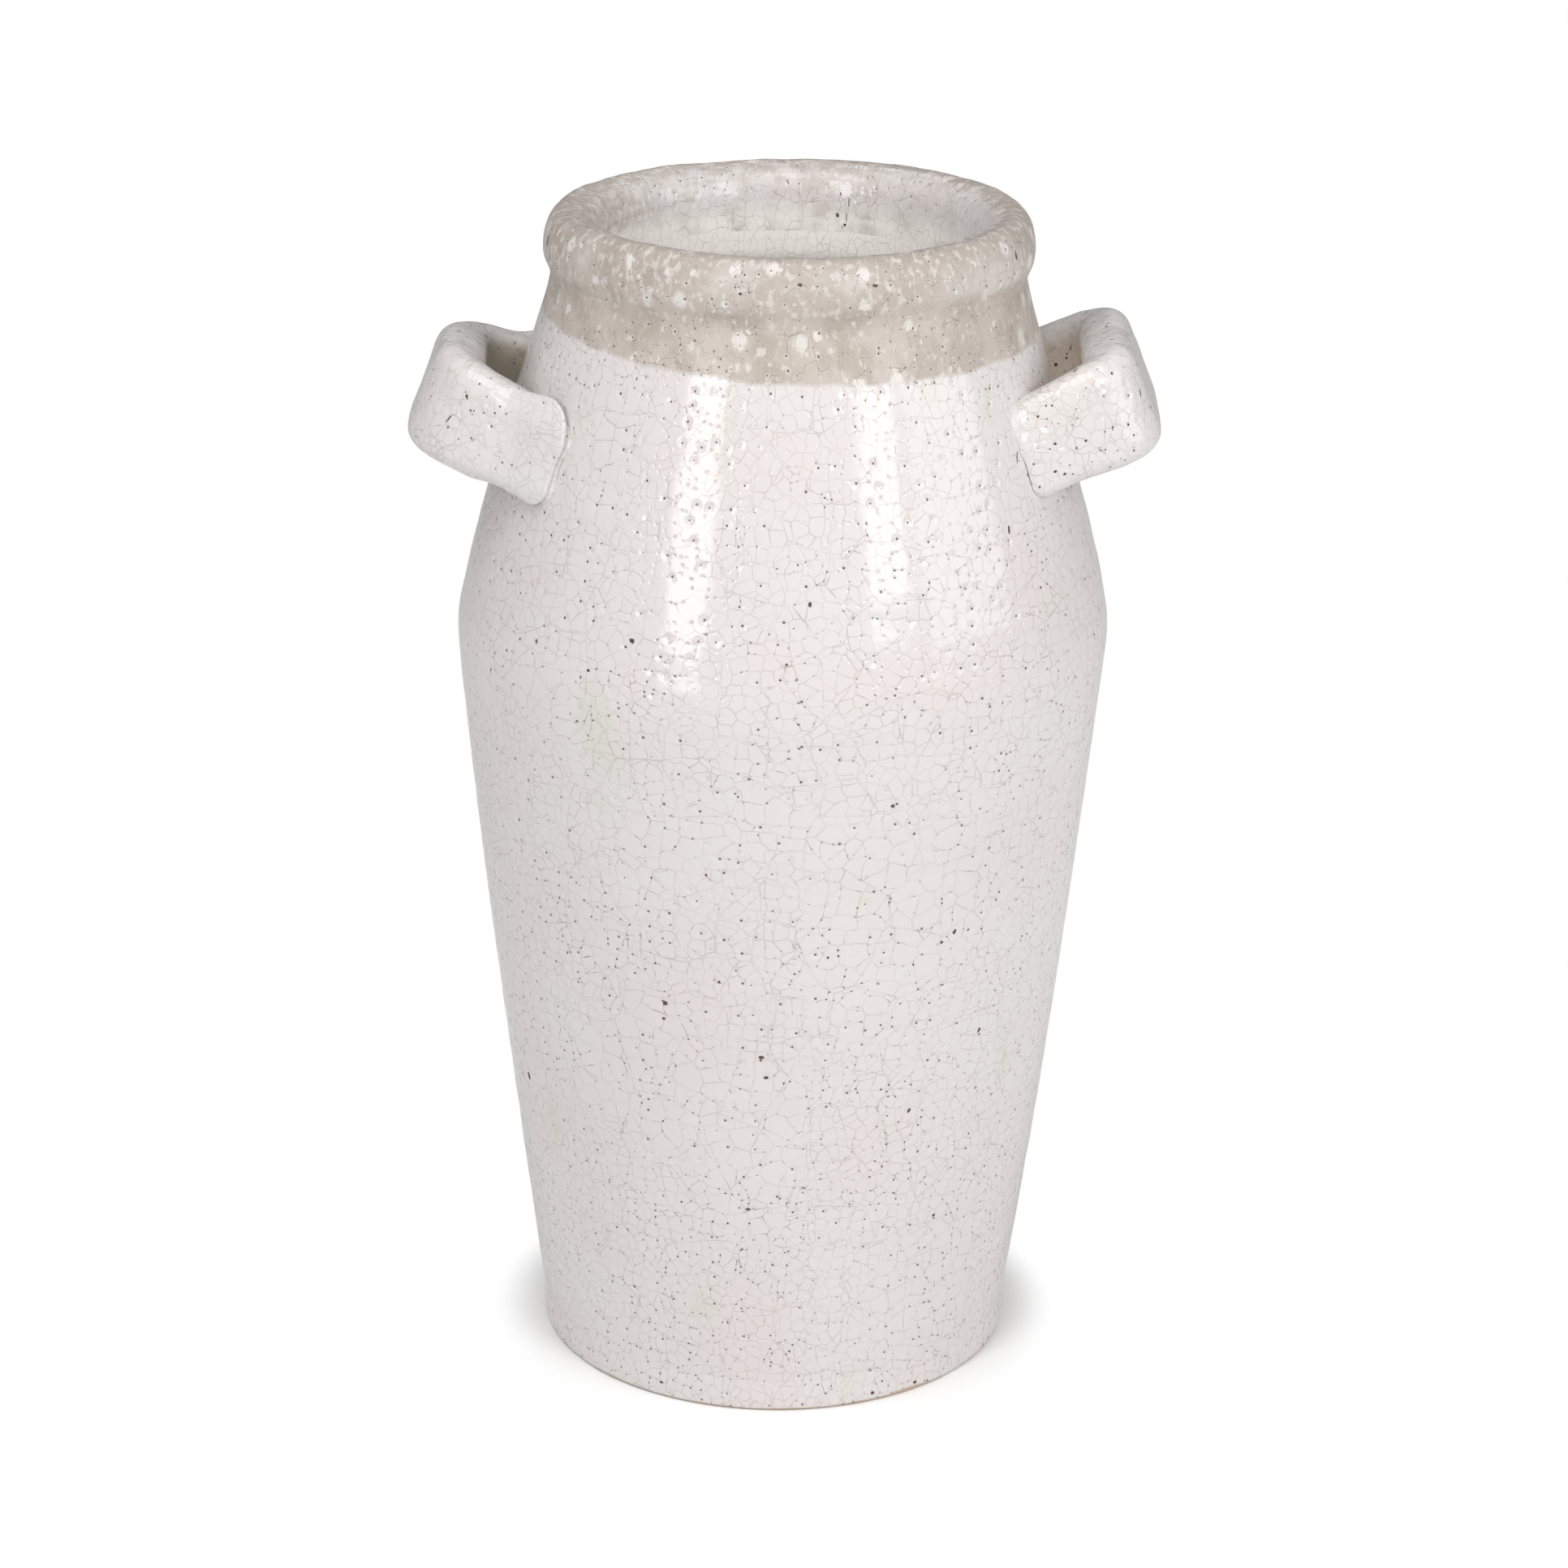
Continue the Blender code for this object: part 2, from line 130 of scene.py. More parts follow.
@dataclass(frozen=True)
class VaseShape:
    """Turned shape of the vase: the CAD solids' sizes, with a softer waist and a rounder lip."""

    height: float = 0.394
    foot_radius: float = 0.0808
    foot_edge: float = 0.0015
    foot_ring: float = 0.011
    foot_recess: float = 0.002
    floor_top: float = 0.011
    lower_bow: float = 0.0015
    lower_thickness: float = 0.0080
    line_height: float = 0.257
    line_radius: float = 0.1086
    line_softness: float = 0.002
    cone_bow: float = 0.0012
    cone_thickness: float = 0.0090
    neck_radius: float = 0.0763
    neck_height: float = 0.3725
    neck_softness: float = 0.0036
    collar_foot: float = 0.352
    throat_radius: float = 0.0605
    throat_bottom: float = 0.36225
    throat_flare: float = 0.7
    throat_softness: float = 0.004
    lip_crest_radius: float = 0.0722
    lip_roll_depth: float = 0.0072
    lip_roll_half_height: float = 0.0121
    lip_ridge_drop: float = 0.0030
    lip_roll_over: float = 0.25
    lip_dish: tuple[float, float] = (0.0062, 0.0012)
    lip_ridge: tuple[float, float] = (0.0008, 0.0012)
    throat_top: float = 0.0130

    def bowed(self, z: float, low: tuple[float, float], high: tuple[float, float], bow: float) -> float:
        """Returns the radius on a line between two (height, radius) points.

        Args:
            z: Height.
            low: Lower point.
            high: Upper point.
            bow: Outward bulge at the middle.

        Returns:
            The radius at z.
        """
        share = (z - low[0]) / (high[0] - low[0])
        return low[1] + (high[1] - low[1]) * share + 4 * bow * share * (1 - share)

    def lower_radius(self, z: float) -> float:
        """Returns the outer radius of the lower wall."""
        line = (self.line_height, self.line_radius)
        return self.bowed(z, (self.floor_top, self.foot_radius), line, self.lower_bow)

    def cone_radius(self, z: float) -> float:
        """Returns the outer radius of the shoulder cone."""
        line = (self.line_height, self.line_radius)
        return self.bowed(z, line, (self.neck_height, self.neck_radius), self.cone_bow)

    def outer_radius(self, z: float) -> float:
        """Returns the outer radius between the floor and the underside of the lip."""
        leaning = -smooth_min(-self.cone_radius(z), -self.neck_radius, self.neck_softness)
        return smooth_min(self.lower_radius(z), leaning, self.line_softness)

    def inner_radius(self, z: float) -> float:
        """Follows the inner side between the floor and the throat.

        Args:
            z: Height.

        Returns:
            The inner radius.
        """
        if z >= self.throat_bottom:
            return self.throat_radius
        below_line = self.lower_radius(z) - self.lower_thickness
        belly = smooth_min(below_line, self.cone_radius(z) - self.cone_thickness, self.line_softness)
        flare = self.throat_radius + self.throat_flare * (self.throat_bottom - z)
        return smooth_min(belly, flare, self.throat_softness)

    def wall_normal(self, z: float) -> tuple[float, float]:
        """Finds which way the outer wall faces.

        Args:
            z: Height.

        Returns:
            The radial and the upward part of its outward normal.
        """
        step = 0.0005
        slope = (self.outer_radius(z + step) - self.outer_radius(z - step)) / (2 * step)
        length = math.hypot(1.0, slope)
        return 1.0 / length, -slope / length


@dataclass(frozen=True)
class PhotoView:
    """Camera that the picture is taken with, as the photograph shows the vase."""

    frame_pixels: float = 1932.0
    focal_pixels: float = 5072.0
    sensor: float = 36.0
    turn: float = math.radians(-1.0)
    side: float = 0.00129
    back: float = -1.3061
    up: float = 0.6831
    tilt: float = math.radians(20.48)
    roll: float = math.radians(0.77)
    lip_reach: float = 0.015

    def matrix(self) -> Matrix:
        """Returns the camera's place in the world."""
        place = Matrix.Rotation(self.turn, 4, "Z") @ Matrix.Translation((self.side, self.back, self.up))
        aim = Matrix.Rotation(math.pi / 2 - self.tilt, 4, "X")
        return place @ aim @ Matrix.Rotation(self.roll, 4, "Z")

    def sight(self, u: float, v: float) -> tuple[Vector, Vector]:
        """Returns the line of sight through a pixel of the photograph.

        Args:
            u: Pixels from the left edge.
            v: Pixels from the top edge.

        Returns:
            The eye point and the direction of sight.
        """
        matrix = self.matrix()
        half = self.frame_pixels / 2
        away = Vector(((u - half) / self.focal_pixels, (half - v) / self.focal_pixels, -1.0))
        return matrix.translation, (matrix.to_3x3() @ away).normalized()

    def spot(self, shape: VaseShape, u: float, v: float) -> Vector:
        """Returns the point of the outer wall that a pixel shows.

        Args:
            shape: Turned shape of the vase.
            u: Pixels from the left edge.
            v: Pixels from the top edge.

        Returns:
            The nearest point of the wall on the line of sight.
        """
        eye, away = self.sight(u, v)
        near, far, step = 1.0, 1.6, 0.001
        while near < far:
            point = eye + away * near
            if 0.0 < point.z < shape.neck_height + self.lip_reach:
                radius = shape.outer_radius(min(point.z, shape.neck_height))
                if point.z > shape.neck_height:
                    radius += shape.lip_roll_depth / 2
                if math.hypot(point.x, point.y) < radius:
                    break
            near += step
        return eye + away * near

    def build(self) -> Piece:
        """Adds the camera to the scene.

        Returns:
            The camera.
        """
        bpy.ops.object.select_all(action="DESELECT")
        bpy.ops.object.camera_add()
        camera = bpy.context.object
        camera.name = "photo_camera"
        camera.matrix_world = self.matrix()
        camera.data.sensor_width = self.sensor
        camera.data.lens = self.sensor * self.focal_pixels / self.frame_pixels
        camera.data.dof.use_dof = False
        bpy.context.scene.camera = camera
        return camera


@dataclass(frozen=True)
class Chip:
    """A dark chip in the glaze, at the pixel of the photograph that shows it."""

    u: float
    v: float
    width: float
    height: float
    lean: float = 0.0
    behind: bool = False


def chips_from(rows: Iterable[tuple], behind: bool = False) -> list[Chip]:
    """Returns chips from rows of pixels across and down, width and height in mm, and any lean in degrees."""
    return [Chip(u, v, width * MILLIMETRE, height * MILLIMETRE, *lean, behind=behind)
            for u, v, width, height, *lean in rows]


def pits_from(places: Iterable[tuple], sizes: tuple[float, ...]) -> list[Chip]:
    """Returns round pits at pixels across and down, with sizes in mm that take turns."""
    return chips_from((u, v, size, size) for (u, v), size in zip(places, cycle(sizes)))


FRONT_CHIPS = (
    (779, 790, 2.1, 1.3, -30), (725, 826, 1.1, 1.0), (998, 745, 1.0, 1.4), (1243, 653, 1.0, 2.4, -10),
    (1100, 993, 1.2, 1.4), (820, 1236, 2.0, 1.5, -25), (818, 1255, 1.2, 0.9), (938, 1303, 1.8, 1.4),
    (944, 1328, 1.8, 1.0), (652, 1325, 1.6, 2.8, 20), (1120, 1368, 1.1, 1.7, -20), (1176, 1148, 1.1, 2.0, -25),
    (1160, 1161, 1.2, 1.1), (1206, 1269, 1.2, 1.7, -35), (922, 1490, 1.5, 1.0), (1150, 1497, 1.3, 1.0, 30),
    (815, 1703, 1.4, 0.9, -20), (1075, 1716, 1.4, 1.2), (1127, 1703, 1.4, 1.1), (986, 351, 1.4, 1.1),
    (1078, 352, 1.7, 1.1), (1252, 315, 1.1, 2.8), (675, 296, 1.3, 4.2), (912, 362, 1.0, 0.8),
    (870, 1078, 0.9, 1.0), (886, 1210, 1.0, 0.9), (661, 790, 0.9, 1.4, 15), (575, 488, 0.9, 1.3),
    (580, 506, 0.6, 0.8), (553, 516, 0.5, 3.4, -35), (599, 414, 0.5, 1.6, 20), (616, 501, 0.6, 0.6),
    (624, 510, 0.7, 0.5), (565, 541, 0.5, 0.7), (619, 570, 0.6, 0.6), (585, 596, 0.5, 0.8),
    (1301, 449, 1.1, 1.3), (1314, 441, 0.8, 0.9), (1325, 456, 0.7, 2.4, 25), (1319, 429, 0.6, 1.0),
    (1370, 460, 1.0, 0.9), (1405, 484, 0.5, 2.8, -15), (1390, 523, 0.9, 0.9), (1397, 536, 0.7, 0.7),
    (1397, 555, 0.7, 0.8), (1386, 567, 0.6, 0.6), (1300, 547, 1.0, 0.9), (1338, 543, 0.9, 0.8),
    (1356, 555, 0.6, 0.6), (1362, 554, 0.6, 0.6), (1300, 581, 1.1, 0.9, 20), (1312, 584, 1.0, 0.9),
    (1281, 600, 0.7, 0.9), (1279, 513, 0.7, 0.8), (1289, 500, 0.6, 0.6), (1296, 500, 0.6, 0.7),
    (1253, 563, 0.5, 3.6, -22), (1036, 239, 0.4, 1.4, 10), (1032, 265, 1.0, 1.5, 20), (1038, 280, 0.4, 1.2),
    (970, 223, 0.7, 0.4), (640, 1010, 0.8, 1.0), (1020, 1180, 0.8, 0.9),
)
BACK_CHIPS = (
    (880, 640, 1.2, 0.9), (1010, 900, 1.8, 1.3, 25), (760, 1120, 1.3, 1.0), (1130, 1290, 1.1, 1.8, -20),
    (930, 1500, 1.4, 1.0, 10), (1180, 700, 0.9, 1.4),
)
LEFT_PITS = (
    (574, 483), (576, 491), (591, 473), (605, 466), (584, 506), (610, 509), (600, 489), (596, 509), (639, 479),
    (531, 488),
)
RIGHT_PITS = (
    (1287, 489), (1266, 516), (1290, 516), (1296, 521), (1304, 522), (1321, 524), (1335, 488), (1338, 478),
    (1360, 488), (1384, 453), (1371, 529), (1361, 532), (1354, 552), (1377, 555), (1318, 573), (1307, 571),
    (1345, 569), (1322, 584), (1381, 565), (1326, 504), (1320, 426), (1318, 431),
)
MOUTH_CHIPS = ((1041, 277, 0.9, 1.1), (1046, 250, 0.3, 3.0), (1043, 268, 0.3, 3.4))
CHIPS = (*chips_from(FRONT_CHIPS), *chips_from(BACK_CHIPS, behind=True), *pits_from(LEFT_PITS, (0.49, 0.58, 0.67)),
         *pits_from(RIGHT_PITS, (0.37, 0.43, 0.52)), *chips_from(MOUTH_CHIPS))


class ClaySurface:
    """The small ways in which the hand-made surface leaves the turned shape."""

    ripple: float = 0.00016
    lump: float = 0.00042
    dimple: float = 0.00006
    lip_lump: float = 0.00055
    lip_start: float = 0.366
    lip_blend: float = 0.012
    lip_core: tuple[float, float] = (0.0695, 0.3800)
    lip_half: tuple[float, float] = (0.009, 0.012)
    inner_share: float = 0.6
    mid_wall: tuple[float, float, float] = (0.079, 0.070, 0.068)
    lip_joint: tuple[float, float] = (0.002, 0.006)
    foot_calm: tuple[float, float] = (0.0006, 0.006)
    line_wear: float = 0.0003
    line_wear_run: float = 0.012
    far_right: float = 0.0007
    far_right_way: tuple[float, float] = (0.64, 0.77)
    right_swell: float = 0.0009
    right_swell_height: float = 0.283
    right_swell_run: float = 0.026
    rim_from: float = 0.300
    rim_shift: float = 0.00066
    rim_tilt: float = 0.0023
    rim_drop: float = 0.0004
    chip_depth: float = 0.00028
    chip_run: float = 0.0022

    def __init__(self, shape: VaseShape, chips: list[Vector]) -> None:
        """Keeps the turned shape and the places of the chips."""
        self.shape = shape
        self.chips = chips

    def lift(self, x: float, y: float, z: float) -> float:
        """Returns how far the clay stands proud of the turned shape.

        Args:
            x: Place along X.
            y: Place along Y.
            z: Height.

        Returns:
            The lift in metres, along the surface's normal.
        """
        wide = noise.noise(Vector((x * 14, y * 14, z * 11 + 3.7)))
        rings = noise.noise(Vector((x * 3 + 9.1, y * 3, z * 95)))
        small = noise.noise(Vector((x * 105, y * 105, z * 105 + 5.3)))
        fine = noise.noise(Vector((x * 230 + 2.2, y * 230, z * 230)))
        lift = wide * self.lump + rings * self.ripple + (small + 0.5 * fine) * self.dimple
        on_lip = clamp((z - self.lip_start) / self.lip_blend)
        if on_lip > 0.0:
            lumps = noise.noise(Vector((x * 62, y * 62, z * 40 + 1.3)))
            lumps += 0.42 * noise.noise(Vector((x * 170, y * 170, z * 120 + 4.1)))
            lift += on_lip * lumps * self.lip_lump
        return lift

    def shape_up(self, places: np.ndarray) -> np.ndarray:
        """Moves points of the turned shape to the hand-made surface.

        Args:
            places: One row of x, y and z for each point.

        Returns:
            The moved points.
        """
        shape = self.shape
        x, y, z = places.T
        radius = np.maximum(np.hypot(x, y), 1e-6)
        lifts = np.array([self.lift(*place) for place in places.tolist()])
        for chip in self.chips:
            away = np.linalg.norm(places - np.array(chip), axis=1)
            lifts -= self.chip_depth * np.exp(-(away / self.chip_run) ** 2)
        outside = radius > np.interp(z, (0.0, shape.neck_height, shape.height), self.mid_wall)
        lifts *= np.where(outside, 1.0, self.inner_share) * ease(z, *self.foot_calm)
        lifts -= self.line_wear * np.exp(-((z - shape.line_height) / self.line_wear_run) ** 2)
        over = ease(z, shape.neck_height - self.lip_joint[0], shape.neck_height + self.lip_joint[1])
        out_r = np.where(outside, 1.0, -1.0) * (1 - over) + over * (radius - self.lip_core[0]) / self.lip_half[0]
        out_z = over * (z - self.lip_core[1]) / self.lip_half[1]
        length = np.maximum(np.hypot(out_r, out_z), 0.2)
        facing = (x * self.far_right_way[0] + y * self.far_right_way[1]) / radius
        far_right = np.clip(facing, 0.0, 1.0) ** 4 * over
        lifts += self.far_right * far_right * outside
        moved_r = radius + lifts * out_r / length
        moved_z = z + lifts * out_z / length
        top = ease(z, self.rim_from, shape.height)
        swell = np.exp(-((z - self.right_swell_height) / self.right_swell_run) ** 2)
        moved_r = moved_r + self.right_swell * (np.clip(x / 0.1, 0.0, 1.0) * swell)
        moved_x = x / radius * moved_r + self.rim_shift * top
        moved_y = y / radius * moved_r
        tilt = self.rim_tilt * x - self.rim_drop * (1 - far_right)
        moved_z = np.minimum(moved_z + tilt * top, shape.height)
        return np.stack((moved_x, moved_y, moved_z), axis=1)

    def finish(self, piece: Piece) -> None:
        """Gives a turned piece the hand-made surface."""
        moved = self.shape_up(read_places(piece.data))
        piece.data.vertices.foreach_set("co", moved.ravel())
        piece.data.update()


class Workbench:
    """Short names for the modelling steps that several pieces share."""

    @staticmethod
    def clear() -> None:
        """Deselects everything."""
        if bpy.context.object and bpy.context.object.mode != "OBJECT":
            bpy.ops.object.mode_set(mode="OBJECT")
        bpy.ops.object.select_all(action="DESELECT")

    @staticmethod
    def pick(piece: Piece) -> None:
        """Selects one piece and makes it active."""
        Workbench.clear()
        piece.select_set(True)
        bpy.context.view_layer.objects.active = piece

    @staticmethod
    @contextmanager
    def editing() -> Iterator[None]:
        """Opens the active piece in edit mode with all of it selected, and closes it at the end."""
        bpy.ops.object.mode_set(mode="EDIT")
        bpy.ops.mesh.select_all(action="SELECT")
        yield
        bpy.ops.object.mode_set(mode="OBJECT")

    @staticmethod
    def weld(gap: float) -> None:
        """Merges all points of the edited piece that lie closer than the gap."""
        bpy.ops.mesh.select_all(action="SELECT")
        bpy.ops.mesh.remove_doubles(threshold=gap)

    @staticmethod
    def apply_place(piece: Piece) -> None:
        """Puts the object's place, turn and size into its mesh."""
        Workbench.pick(piece)
        bpy.ops.object.transform_apply(location=True, rotation=True, scale=True)

    @staticmethod
    def modify(piece: Piece, name: str, kind: str, **settings: object) -> None:
        """Adds a modifier with its settings."""
        made = piece.modifiers.new(name, kind)
        for key, value in settings.items():
            setattr(made, key, value)

    @staticmethod
    def apply_modifiers(piece: Piece) -> None:
        """Applies every modifier of a piece, in order."""
        Workbench.pick(piece)
        for modifier in list(piece.modifiers):
            bpy.ops.object.modifier_apply(modifier=modifier.name)

    @staticmethod
    def draw(name: str, start: Iterable[float], steps: Iterable[tuple], gap: float) -> Piece:
        """Draws a closed outline by extruding one point from corner to corner.

        Args:
            name: Name of the new piece.
            start: First corner.
            steps: Step from each corner to the next; the last one leads back to the first.
            gap: Distance under which points are merged.

        Returns:
            The outline, with its place in its mesh.
        """
        Workbench.clear()
        bpy.ops.mesh.primitive_plane_add(size=MILLIMETRE, location=start)
        piece = bpy.context.object
        piece.name = name
        with Workbench.editing():
            bpy.ops.mesh.merge(type="CENTER")
            for step in steps:
                bpy.ops.mesh.extrude_region_move(TRANSFORM_OT_translate={"value": step})
            Workbench.weld(gap)
        Workbench.apply_place(piece)
        return piece

    @staticmethod
    def turn(name: str, profile: Profile, steps: int) -> Piece:
        """Turns a closed profile about the Z axis, as on a wheel.

        Args:
            name: Name of the new piece.
            profile: Points of (radius, height); the last one joins the first.
            steps: Number of steps of the full turn.

        Returns:
            The turned piece, with its place in its mesh.
        """
        pairs = zip(profile, [*profile[1:], profile[0]])
        line = [(there[0] - here[0], 0.0, there[1] - here[1]) for here, there in pairs]
        piece = Workbench.draw(name, (profile[0][0], 0.0, profile[0][1]), line, WELD_GAP)
        Workbench.modify(piece, "wheel", "SCREW", angle=math.tau, steps=steps, render_steps=steps,
                         use_merge_vertices=True, merge_threshold=WELD_GAP, use_normal_calculate=True)
        Workbench.apply_modifiers(piece)
        with Workbench.editing():
            Workbench.weld(WELD_GAP)
            bpy.ops.mesh.normals_make_consistent(inside=False)
        piece.data.name = name
        return piece

    @staticmethod
    def wrap(piece: Piece, profile: Profile, runs: list[float], radius: float, seam: float) -> None:
        """Lays a map round a turned piece, in metres round and along the profile.

        Args:
            piece: The turned piece, still on its profile.
            profile: Points of (radius, height).
            runs: Place of each point of the profile along the map.
            radius: Radius at which the map has its true length round the vase.
            seam: Angle in radians at which the map's two edges meet.
        """
        mesh = piece.data
        places = read_places(mesh)
        line = np.array(profile)
        flat = np.stack((np.hypot(places[:, 0], places[:, 1]), places[:, 2]), axis=1)
        along = np.empty(len(flat))
        batch = 20000
        for start in range(0, len(flat), batch):
            part = flat[start:start + batch]
            gap = ((part[:, None, :] - line[None, :, :]) ** 2).sum(axis=2)
            along[start:start + batch] = np.array(runs)[gap.argmin(axis=1)]
        sway = 0.10 * np.sin(along * 61.0) + 0.05 * np.sin(along * 173.0 + 1.0)
        turned = np.mod(np.arctan2(places[:, 1], places[:, 0]) - seam - sway, math.tau)
        corners = np.empty(len(mesh.loops), dtype=np.int32)
        mesh.loops.foreach_get("vertex_index", corners)
        starts = np.empty(len(mesh.polygons), dtype=np.int32)
        mesh.polygons.foreach_get("loop_start", starts)
        faces = np.searchsorted(starts, np.arange(len(corners)), side="right") - 1
        angle = turned[corners]
        widest = np.maximum.reduceat(angle, starts)
        angle = np.where((widest[faces] > 4.0) & (angle < 2.0), angle + math.tau, angle)
        chart = mesh.uv_layers.new(name=WRAP_NAME)
        round_way = (angle + sway[corners]) * radius
        chart.data.foreach_set("uv", np.stack((round_way, along[corners]), axis=1).ravel())


@dataclass(frozen=True)
class Turning:
    """Sizes of the meshes of the turned sections, and of their maps."""

    steps: int = 480
    ring: float = 0.00148
    floor_ring: float = 0.012
    cone_ring: float = 0.004
    collar_ring: float = 0.0025
    throat_ring: float = 0.0018
    edge_ring: float = 0.00015
    crisp_angle: float = math.radians(42)
    wrap_radius: float = 0.095
    wrap_turn: float = 0.06
    seam: float = math.radians(67)


class VaseBody:
    """The five turned sections of clay, each with its own glazed surface."""

    def __init__(self, shape: VaseShape, surface: ClaySurface, turning: Turning) -> None:
        """Keeps the shape, the hand-made surface and the mesh sizes."""
        self.shape = shape
        self.surface = surface
        self.turning = turning

    def heights(self, top: float, bottom: float, ring: float) -> list[float]:
        """Returns heights from top to bottom, with narrow rings beside both joints.

        Args:
            top: Upper joint.
            bottom: Lower joint.
            ring: Height of an ordinary ring.

        Returns:
            The heights in falling order.
        """
        edge = self.turning.edge_ring
        count = max(2, round((top - bottom) / ring))
        return [top, *spread(top - edge, bottom + edge, count), bottom]

    def wall(self, name: str, top: float, bottom: float, inner_ring: float) -> Piece:
        """Builds one closed ring of wall between two joints.

        Args:
            name: Name of the piece.
            top: Upper joint.
            bottom: Lower joint.
            inner_ring: Height of a ring on the inner side.

        Returns:
            The glazed wall.
        """
        shape = self.shape
        outer = [(shape.outer_radius(z), z) for z in self.heights(top, bottom, self.turning.ring)]
        inner = [(shape.inner_radius(z), z) for z in reversed(self.heights(top, bottom, inner_ring))]
        runs = [z for _, z in outer] + [2 * shape.neck_height + self.turning.wrap_turn - z for _, z in inner]
        return self.complete(name, outer + inner, runs)

    def complete(self, name: str, profile: Profile, runs: list[float]) -> Piece:
        """Turns, maps, shapes and shades one closed section.

        Args:
            name: Name of the piece.
            profile: Points of (radius, height).
            runs: Place of each point along the map.

        Returns:
            The finished section.
        """
        turning = self.turning
        piece = Workbench.turn(name, profile, turning.steps)
        Workbench.wrap(piece, profile, runs, turning.wrap_radius, turning.seam)
        self.surface.finish(piece)
        Workbench.pick(piece)
        bpy.ops.object.shade_smooth_by_angle(angle=turning.crisp_angle)
        return piece

    def lower_wall(self) -> Piece:
        """Builds the tall wall between the floor and the shoulder line."""
        shape = self.shape
        return self.wall("glazed_lower_wall", shape.line_height, shape.floor_top, self.turning.floor_ring)

    def shoulder_wall(self) -> Piece:
        """Builds the cone between the shoulder line and the collar."""
        shape = self.shape
        return self.wall("glazed_shoulder", shape.collar_foot, shape.line_height, self.turning.cone_ring)

    def neck_collar(self) -> Piece:
        """Builds the short ring under the lip, with the throat inside."""
        shape = self.shape
        return self.wall("glazed_neck", shape.neck_height, shape.collar_foot, self.turning.collar_ring)

    def lip_profile(self) -> Profile:
        """Draws the lip's outline: outer roll, dished top, inner ridge and throat.

        Returns:
            Points of (radius, height), from the joint with the collar round to its inner side.
        """
        shape = self.shape
        middle = shape.height - shape.lip_roll_half_height
        start = math.asin((shape.neck_height - middle) / shape.lip_roll_half_height)
        waist = shape.outer_radius(shape.neck_height)
        profile = [(waist, shape.neck_height), (waist + 0.00001, shape.neck_height + self.turning.edge_ring)]
        for angle in spread(start, math.pi / 2 + shape.lip_roll_over, 34)[1:]:
            radius = shape.lip_crest_radius + shape.lip_roll_depth * math.cos(angle)
            height = middle + shape.lip_roll_half_height * math.sin(angle)
            pull = 1 - rise(height, shape.neck_height - 0.001, shape.neck_height + 0.0075)
            profile.append((radius + (waist - radius) * pull, height))
        crest_r, crest_z = profile[-1]
        throat_r, ridge_z = shape.throat_radius, shape.height - shape.lip_ridge_drop
        knots = [Vector((crest_r, crest_z)), Vector((crest_r - shape.lip_dish[0], crest_z - shape.lip_dish[1])),
                 Vector((throat_r + shape.lip_ridge[0], ridge_z + shape.lip_ridge[1])),
                 Vector((throat_r, shape.height - shape.throat_top))]
        for share in spread(0.0, 1.0, 24)[1:]:
            rest = 1 - share
            weights = (rest ** 3, 3 * rest * rest * share, 3 * rest * share * share, share ** 3)
            point = sum((knot * weight for knot, weight in zip(knots, weights)), Vector((0.0, 0.0)))
            profile.append((point.x, point.y))
        throat = self.heights(profile[-1][1], shape.neck_height, self.turning.throat_ring)[1:]
        return profile + [(shape.throat_radius, z) for z in throat]

    def rolled_lip(self) -> Piece:
        """Builds the rolled lip and the top of the throat.

        Returns:
            The glazed lip.
        """
        profile = self.lip_profile()
        first = self.shape.neck_height
        runs = [first]
        for here, there in zip(profile, profile[1:]):
            runs.append(runs[-1] + math.dist(here, there))
        share = self.turning.wrap_turn / (runs[-1] - first)
        return self.complete("glazed_lip", profile, [first + (run - first) * share for run in runs])

    def foot(self) -> Piece:
        """Builds the floor disc with the foot ring and its recess.

        Returns:
            The glazed foot.
        """
        shape = self.shape
        edge = shape.foot_edge
        arc_r = shape.foot_radius - edge
        ring_r = arc_r - shape.foot_ring
        profile = [(shape.outer_radius(shape.floor_top), shape.floor_top)]
        profile += [(shape.foot_radius, z) for z in spread(shape.floor_top - self.turning.edge_ring, edge, 8)]
        arc = spread(0.0, math.pi / 2, 9)[1:]
        profile += [(arc_r + edge * math.cos(angle), edge * (1 - math.sin(angle))) for angle in arc]
        profile += [(radius, 0.0) for radius in spread(arc_r, ring_r, 7)[1:]]
        inside = ring_r - shape.foot_recess
        profile += [(radius, shape.foot_recess) for radius in spread(inside, 0.0, 9)]
        profile += [(radius, shape.floor_top) for radius in spread(0.0, shape.inner_radius(shape.floor_top), 8)]
        runs = [height if radius > ring_r else height - 0.2 - radius for radius, height in profile]
        return self.complete("glazed_foot", profile, runs)


